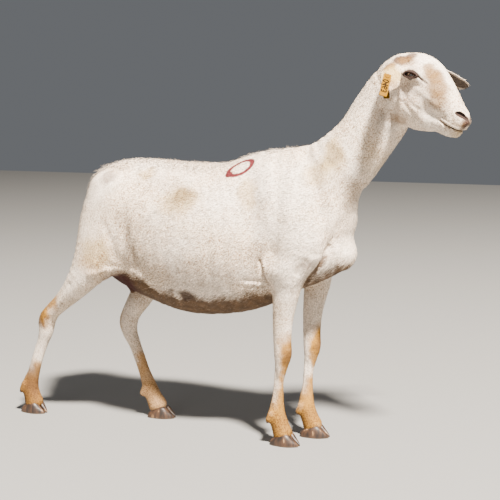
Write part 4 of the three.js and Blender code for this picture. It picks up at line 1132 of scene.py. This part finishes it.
streak = noise(tree, in_wall((85, 150, 14)), 1.0, 3.0)
growth_rings = noise(tree, in_wall((20, 20, 300)), 1.0)
wall = mixed(tree, ramp(tree, streak, 0.36, 0.60), (0.014, 0.009, 0.007, 1), (0.055, 0.027, 0.014, 1))
wall = mixed(tree, ramp(tree, streak, 0.60, 0.68, 0, 0.9), wall, (0.26, 0.15, 0.07, 1))
height = node(tree, "SeparateXYZ", {0: where}).outputs[2]
wall = mixed(tree, ramp(tree, height, 0.0, 0.005, 0.45, 0), wall, (0.11, 0.065, 0.036, 1))
tree.links.new(wall, shader.inputs["Base Color"])
roughened(tree, shader, growth_rings, 0.5, 0.0008)
CLAW_LENGTH, CLAW_WIDTH, CLAW_HEEL, CLAW_TOE, CLAW_SPREAD = 72, 23, 17, 33, 13
# Where each foot stands, x and y, and how far it turns out, in radians.
FEET = {"front_right": (165, -50, -0.06), "front_left": (202, 50, 0.06),
        "hind_right": (-564, -46, -0.1), "hind_left": (-230, 50, 0.1)}
# Sections from heel to toe: the place along the claw, and the width and height there.
SECTIONS = [(-0.5, 0.6, 0.7), (-0.36, 0.9, 1.05), (0.08, 1.0, CLAW_TOE / CLAW_HEEL),
            (0.3, 0.74, 1.12), (0.44, 0.4, 0.55), (0.5, 0.16, 0.22)]
for foot_name, (foot_x, foot_y, foot_turn) in FEET.items():
    for outer in (-1, 1):
        cage = []
        for s, w, high in smooth_run(SECTIONS, 2):
            inner = -0.5 * outer * CLAW_WIDTH * 0.92
            out = inner + outer * CLAW_WIDTH * w
            top, lean = CLAW_HEEL * high, 0.2 * CLAW_WIDTH * outer * min(w, 0.8)
            # Round the section: the sole, the outer wall that leans in, the top, the inner wall.
            cage += [(s * CLAW_LENGTH, y, z) for y, z in (
                (inner + 0.1 * outer * CLAW_WIDTH, 0), (out - 0.04 * outer * CLAW_WIDTH, 0),
                (out, 0.18 * top), (out - 0.4 * lean, 0.66 * top), (out - 1.7 * lean, top),
                (inner + 0.9 * lean, top), (inner, 0.7 * top), (inner, 0.2 * top))]
        cage = np.array(cage)
        last = len(cage) - 8
        ends = [(3, 2, 1, 0), (7, 6, 5, 4), (7, 4, 3, 0), (last, last + 1, last + 2, last + 3),
                (last + 4, last + 5, last + 6, last + 7), (last, last + 3, last + 4, last + 7)]
        faces = np.concatenate([tube(len(cage) // 8, 8), ends])
        if outer < 0:
            faces = faces[:, ::-1]
        stood = cage @ np.array([[math.cos(foot_turn), math.sin(foot_turn), 0],
                                 [-math.sin(foot_turn), math.cos(foot_turn), 0], [0, 0, 1]])
        stood += (foot_x - outer * CLAW_SPREAD * math.sin(foot_turn),
                  foot_y + outer * CLAW_SPREAD * math.cos(foot_turn), 0)
        which = "outer" if outer * foot_y > 0 else "inner"
        claw = new_mesh(f"claw_{foot_name}_{which}", to_frame(stood), faces)
        # The edge that meets the ground stays crisp when the claw is rounded.
        crease = claw.data.attributes.new("crease_edge", "FLOAT", "EDGE")
        for edge in claw.data.edges:
            if all(claw.data.vertices[v].co.z < 0.0005 for v in edge.vertices):
                crease.data[edge.index].value = 0.8
        smoother = claw.modifiers.new("rounding", "SUBSURF")
        smoother.levels = smoother.render_levels = 3
        claw.data.materials.append(horn)
        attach(claw, "root")
        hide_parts(f"hoof_{foot_name}_{which}")


def turned(profile, around, axes):
    # Pairs of radius and height spun round the last of three axes.
    turn = np.linspace(0, 2 * math.pi, around, endpoint=False)
    return np.array([(r * math.cos(t), r * math.sin(t), h) for r, h in profile for t in turn]) @ axes


# Dewclaws: blunt cones of the same horn, pointing down and back.
DEWCLAW_PROFILE = [(0.0, -8.0), (2.2, -7.6), (3.8, -6.2), (4.9, -3.6), (5.5, 0), (5.7, 3), (5.6, 6),
                   (5.0, 8), (0, 8.3)]
DEWCLAW_AXIS = Vector((0.62, 0, 0.78)).normalized()
DEWCLAW_SHIFT = (0.0045, 0, 0.0005)  # set forward into the heel, so that half of it shows
spin = np.array(Vector((0, 0, 1)).rotation_difference(DEWCLAW_AXIS).to_matrix())
for foot_name in FEET:
    for which in ("outer", "inner"):
        dots = turned(DEWCLAW_PROFILE, 20, spin.T) * 0.001
        dots += box_middle(f"dewclaw_{foot_name}_{which}") + DEWCLAW_SHIFT
        dewclaw = new_mesh(f"dew_{foot_name}_{which}", dots, tube(len(DEWCLAW_PROFILE), 20))
        dewclaw.data.materials.append(horn)
        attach(dewclaw, "root")
        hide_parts(f"dewclaw_{foot_name}_{which}")

# ---- ear tag ----
# A two-part tag of soft yellow plastic through her right ear, with plain printed figures on
# the front half. The front carries the head of the stud.
plastic, tree, shader = new_material("tag_plastic", 0.85, 0.12)
where = own_place(tree)
soiled = ramp(tree, noise(tree, where, 90.0, 5.0), 0.50, 0.72, 0, 0.55)
yellow = mixed(tree, soiled, (0.15, 0.068, 0.0002, 1), (0.085, 0.036, 0.0002, 1))
tree.links.new(yellow, shader.inputs["Base Color"])
roughened(tree, shader, noise(tree, where, 600.0), 0.25, 0.0004)
ink, tree, shader = new_material("tag_ink", 0.9, 0.1)
worn = ramp(tree, noise(tree, own_place(tree), 400.0), 0.5, 0.7)
black = mixed(tree, worn, (0.008, 0.004, 0.001, 1), (0.03, 0.012, 0.002, 1))
tree.links.new(black, shader.inputs["Base Color"])
TAG_ACROSS = np.array((0.885, 0.376, -0.275))
PLATE_CORNER, PLATE_TRIM, PLATE_BEVEL, PLATE_THICK = 3.0, 0.3, 0.35, 1.6


def plate_points(width, low, high):
    # A flat plate with round corners and softened edges: four rings from its back to its front.
    inset, rings = PLATE_CORNER + PLATE_TRIM, []
    corners = ((width / 2 - inset, high - inset), (inset - width / 2, high - inset),
               (inset - width / 2, low + inset), (width / 2 - inset, low + inset))
    outline = [(x + PLATE_CORNER * math.cos(angle), y + PLATE_CORNER * math.sin(angle))
               for quarter, (x, y) in enumerate(corners)
               for angle in np.radians(90 * quarter + 18 * np.arange(6))]
    for level, shrink in ((0.0, PLATE_BEVEL), (PLATE_BEVEL, 0.0), (1.2, 0.0), (PLATE_THICK, PLATE_BEVEL)):
        rings += [(x * (1 - shrink / (width / 2)), y + np.sign((low + high) / 2 - y) * shrink, level)
                  for x, y in outline]
    return np.array(rings), len(outline)


# Each half hangs its own way: its name, the way it hangs, its width, its length and how much of
# that lies above the stud.
for half, down, width, length, above in (("front", (0.05, -0.665, -0.745), 18, 64, 7),
                                         ("back", (0.21, -0.345, -0.914), 14, 50, 5)):
    run = np.array(down) / np.linalg.norm(down)
    face = np.cross(run, TAG_ACROSS)
    face /= np.linalg.norm(face)
    across = np.cross(face, run)
    basis = np.stack([across, run, face]) * 0.001
    local, around = plate_points(width, -above, length - above)
    local = local @ basis
    to_place = box_middle("tag_" + half) - (local.min(0) + local.max(0)) / 2
    plate = new_mesh("tag_" + half + "_plate", local + to_place, tube(4, around), smooth=False)
    shell = bmesh.new()
    shell.from_mesh(plate.data)
    shell.verts.ensure_lookup_table()
    for cap in (range(around - 1, -1, -1), range(3 * around, 4 * around)):
        shell.faces.new([shell.verts[i] for i in cap])
    bmesh.ops.recalc_face_normals(shell, faces=shell.faces)
    shell.to_mesh(plate.data)
    shell.free()
    plate.data.materials.append(plastic)
    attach(plate, "root")
    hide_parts("tag_" + half)
    if half == "front":
        stud_way = face
        figures = bpy.data.curves.new("tag_figures", "FONT")
        figures.body = "0463"
        figures.size = 0.0185
        figures.extrude = 0.00012
        figures.offset = 0.0005
        figures.align_x, figures.align_y = "CENTER", "CENTER"
        words = bpy.data.objects.new("tag_figures", figures)
        bpy.context.scene.collection.objects.link(words)
        spot = np.array((0, length / 2 - above + 4, PLATE_THICK + 0.15)) @ basis + to_place
        words.matrix_world = placed_at((run, -across, face), spot)
        figures.materials.append(ink)
        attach(words, "root")
# The stud between the halves, and its round head on the front one.
STUD_PROFILE = [(0, -9.0), (2.4, -9.0), (2.4, 8.6), (2.4, 10.6), (5.0, 10.7), (5.2, 11.6), (4.4, 12.3),
                (1.6, 12.5), (1.2, 11.9), (0, 11.8)]
stud_across = TAG_ACROSS / np.linalg.norm(TAG_ACROSS)
stud_axes = np.stack([stud_across, np.cross(stud_way, stud_across), stud_way]) * 0.001
stud = new_mesh("tag_stud_pin", turned(STUD_PROFILE, 24, stud_axes) + box_middle("tag_stud"),
                tube(len(STUD_PROFILE), 24))
stud.data.materials.append(plastic)
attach(stud, "root")
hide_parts("tag_stud")

# ---- studio ----
# A plain pale floor, a small strong key lamp high up at the right front with a weak fill and a
# weak rim lamp behind, and the camera at standing height on her right side.
floor_mesh = bpy.data.meshes.new("floor")
floor_mesh.from_pydata([(-9, -9, 0), (9, -9, 0), (9, 9, 0), (-9, 9, 0)], [], [(0, 1, 2, 3)])
floor = bpy.data.objects.new("floor", floor_mesh)
bpy.context.scene.collection.objects.link(floor)
pale, tree, shader = new_material("floor_pale", 0.9)
shader.inputs["Base Color"].default_value = (0.19, 0.185, 0.177, 1)
floor_mesh.materials.append(pale)
world = bpy.data.worlds.new("studio")
bpy.context.scene.world = world
world.use_nodes = True
world.node_tree.nodes["Background"].inputs[0].default_value = (0.80, 0.84, 0.90, 1)
world.node_tree.nodes["Background"].inputs[1].default_value = 0.175
LIT_PLACE = Vector((0.05, 0, 0.45))
for name, place_at, size, power, tint in (
        ("key", (3.45, -3.35, 7.20), 0.8, 7000, (1.0, 0.93, 0.83)),
        ("fill", (-0.6, -3.4, 1.5), 1.4, 20, (1.0, 0.96, 0.92)),
        ("rim", (-1.6, 2.6, 3.0), 2.0, 40, (1.0, 0.95, 0.88))):
    lamp = bpy.data.lights.new(name, "AREA")
    lamp.size, lamp.energy, lamp.color = size, power, tint
    lamp_object = bpy.data.objects.new(name, lamp)
    lamp_object.location = place_at
    lamp_object.rotation_euler = (LIT_PLACE - Vector(place_at)).to_track_quat("-Z", "Y").to_euler()
    bpy.context.scene.collection.objects.link(lamp_object)
camera_data = bpy.data.cameras.new("camera")
camera_data.sensor_width, camera_data.lens = 36, 86.4
camera = bpy.data.objects.new("camera", camera_data)
camera.location = Vector(to_frame((1277, -2638, 825.6)))
camera.rotation_euler = (math.radians(90 - 7.125), 0, math.radians(25))
bpy.context.scene.collection.objects.link(camera)
bpy.context.scene.camera = camera
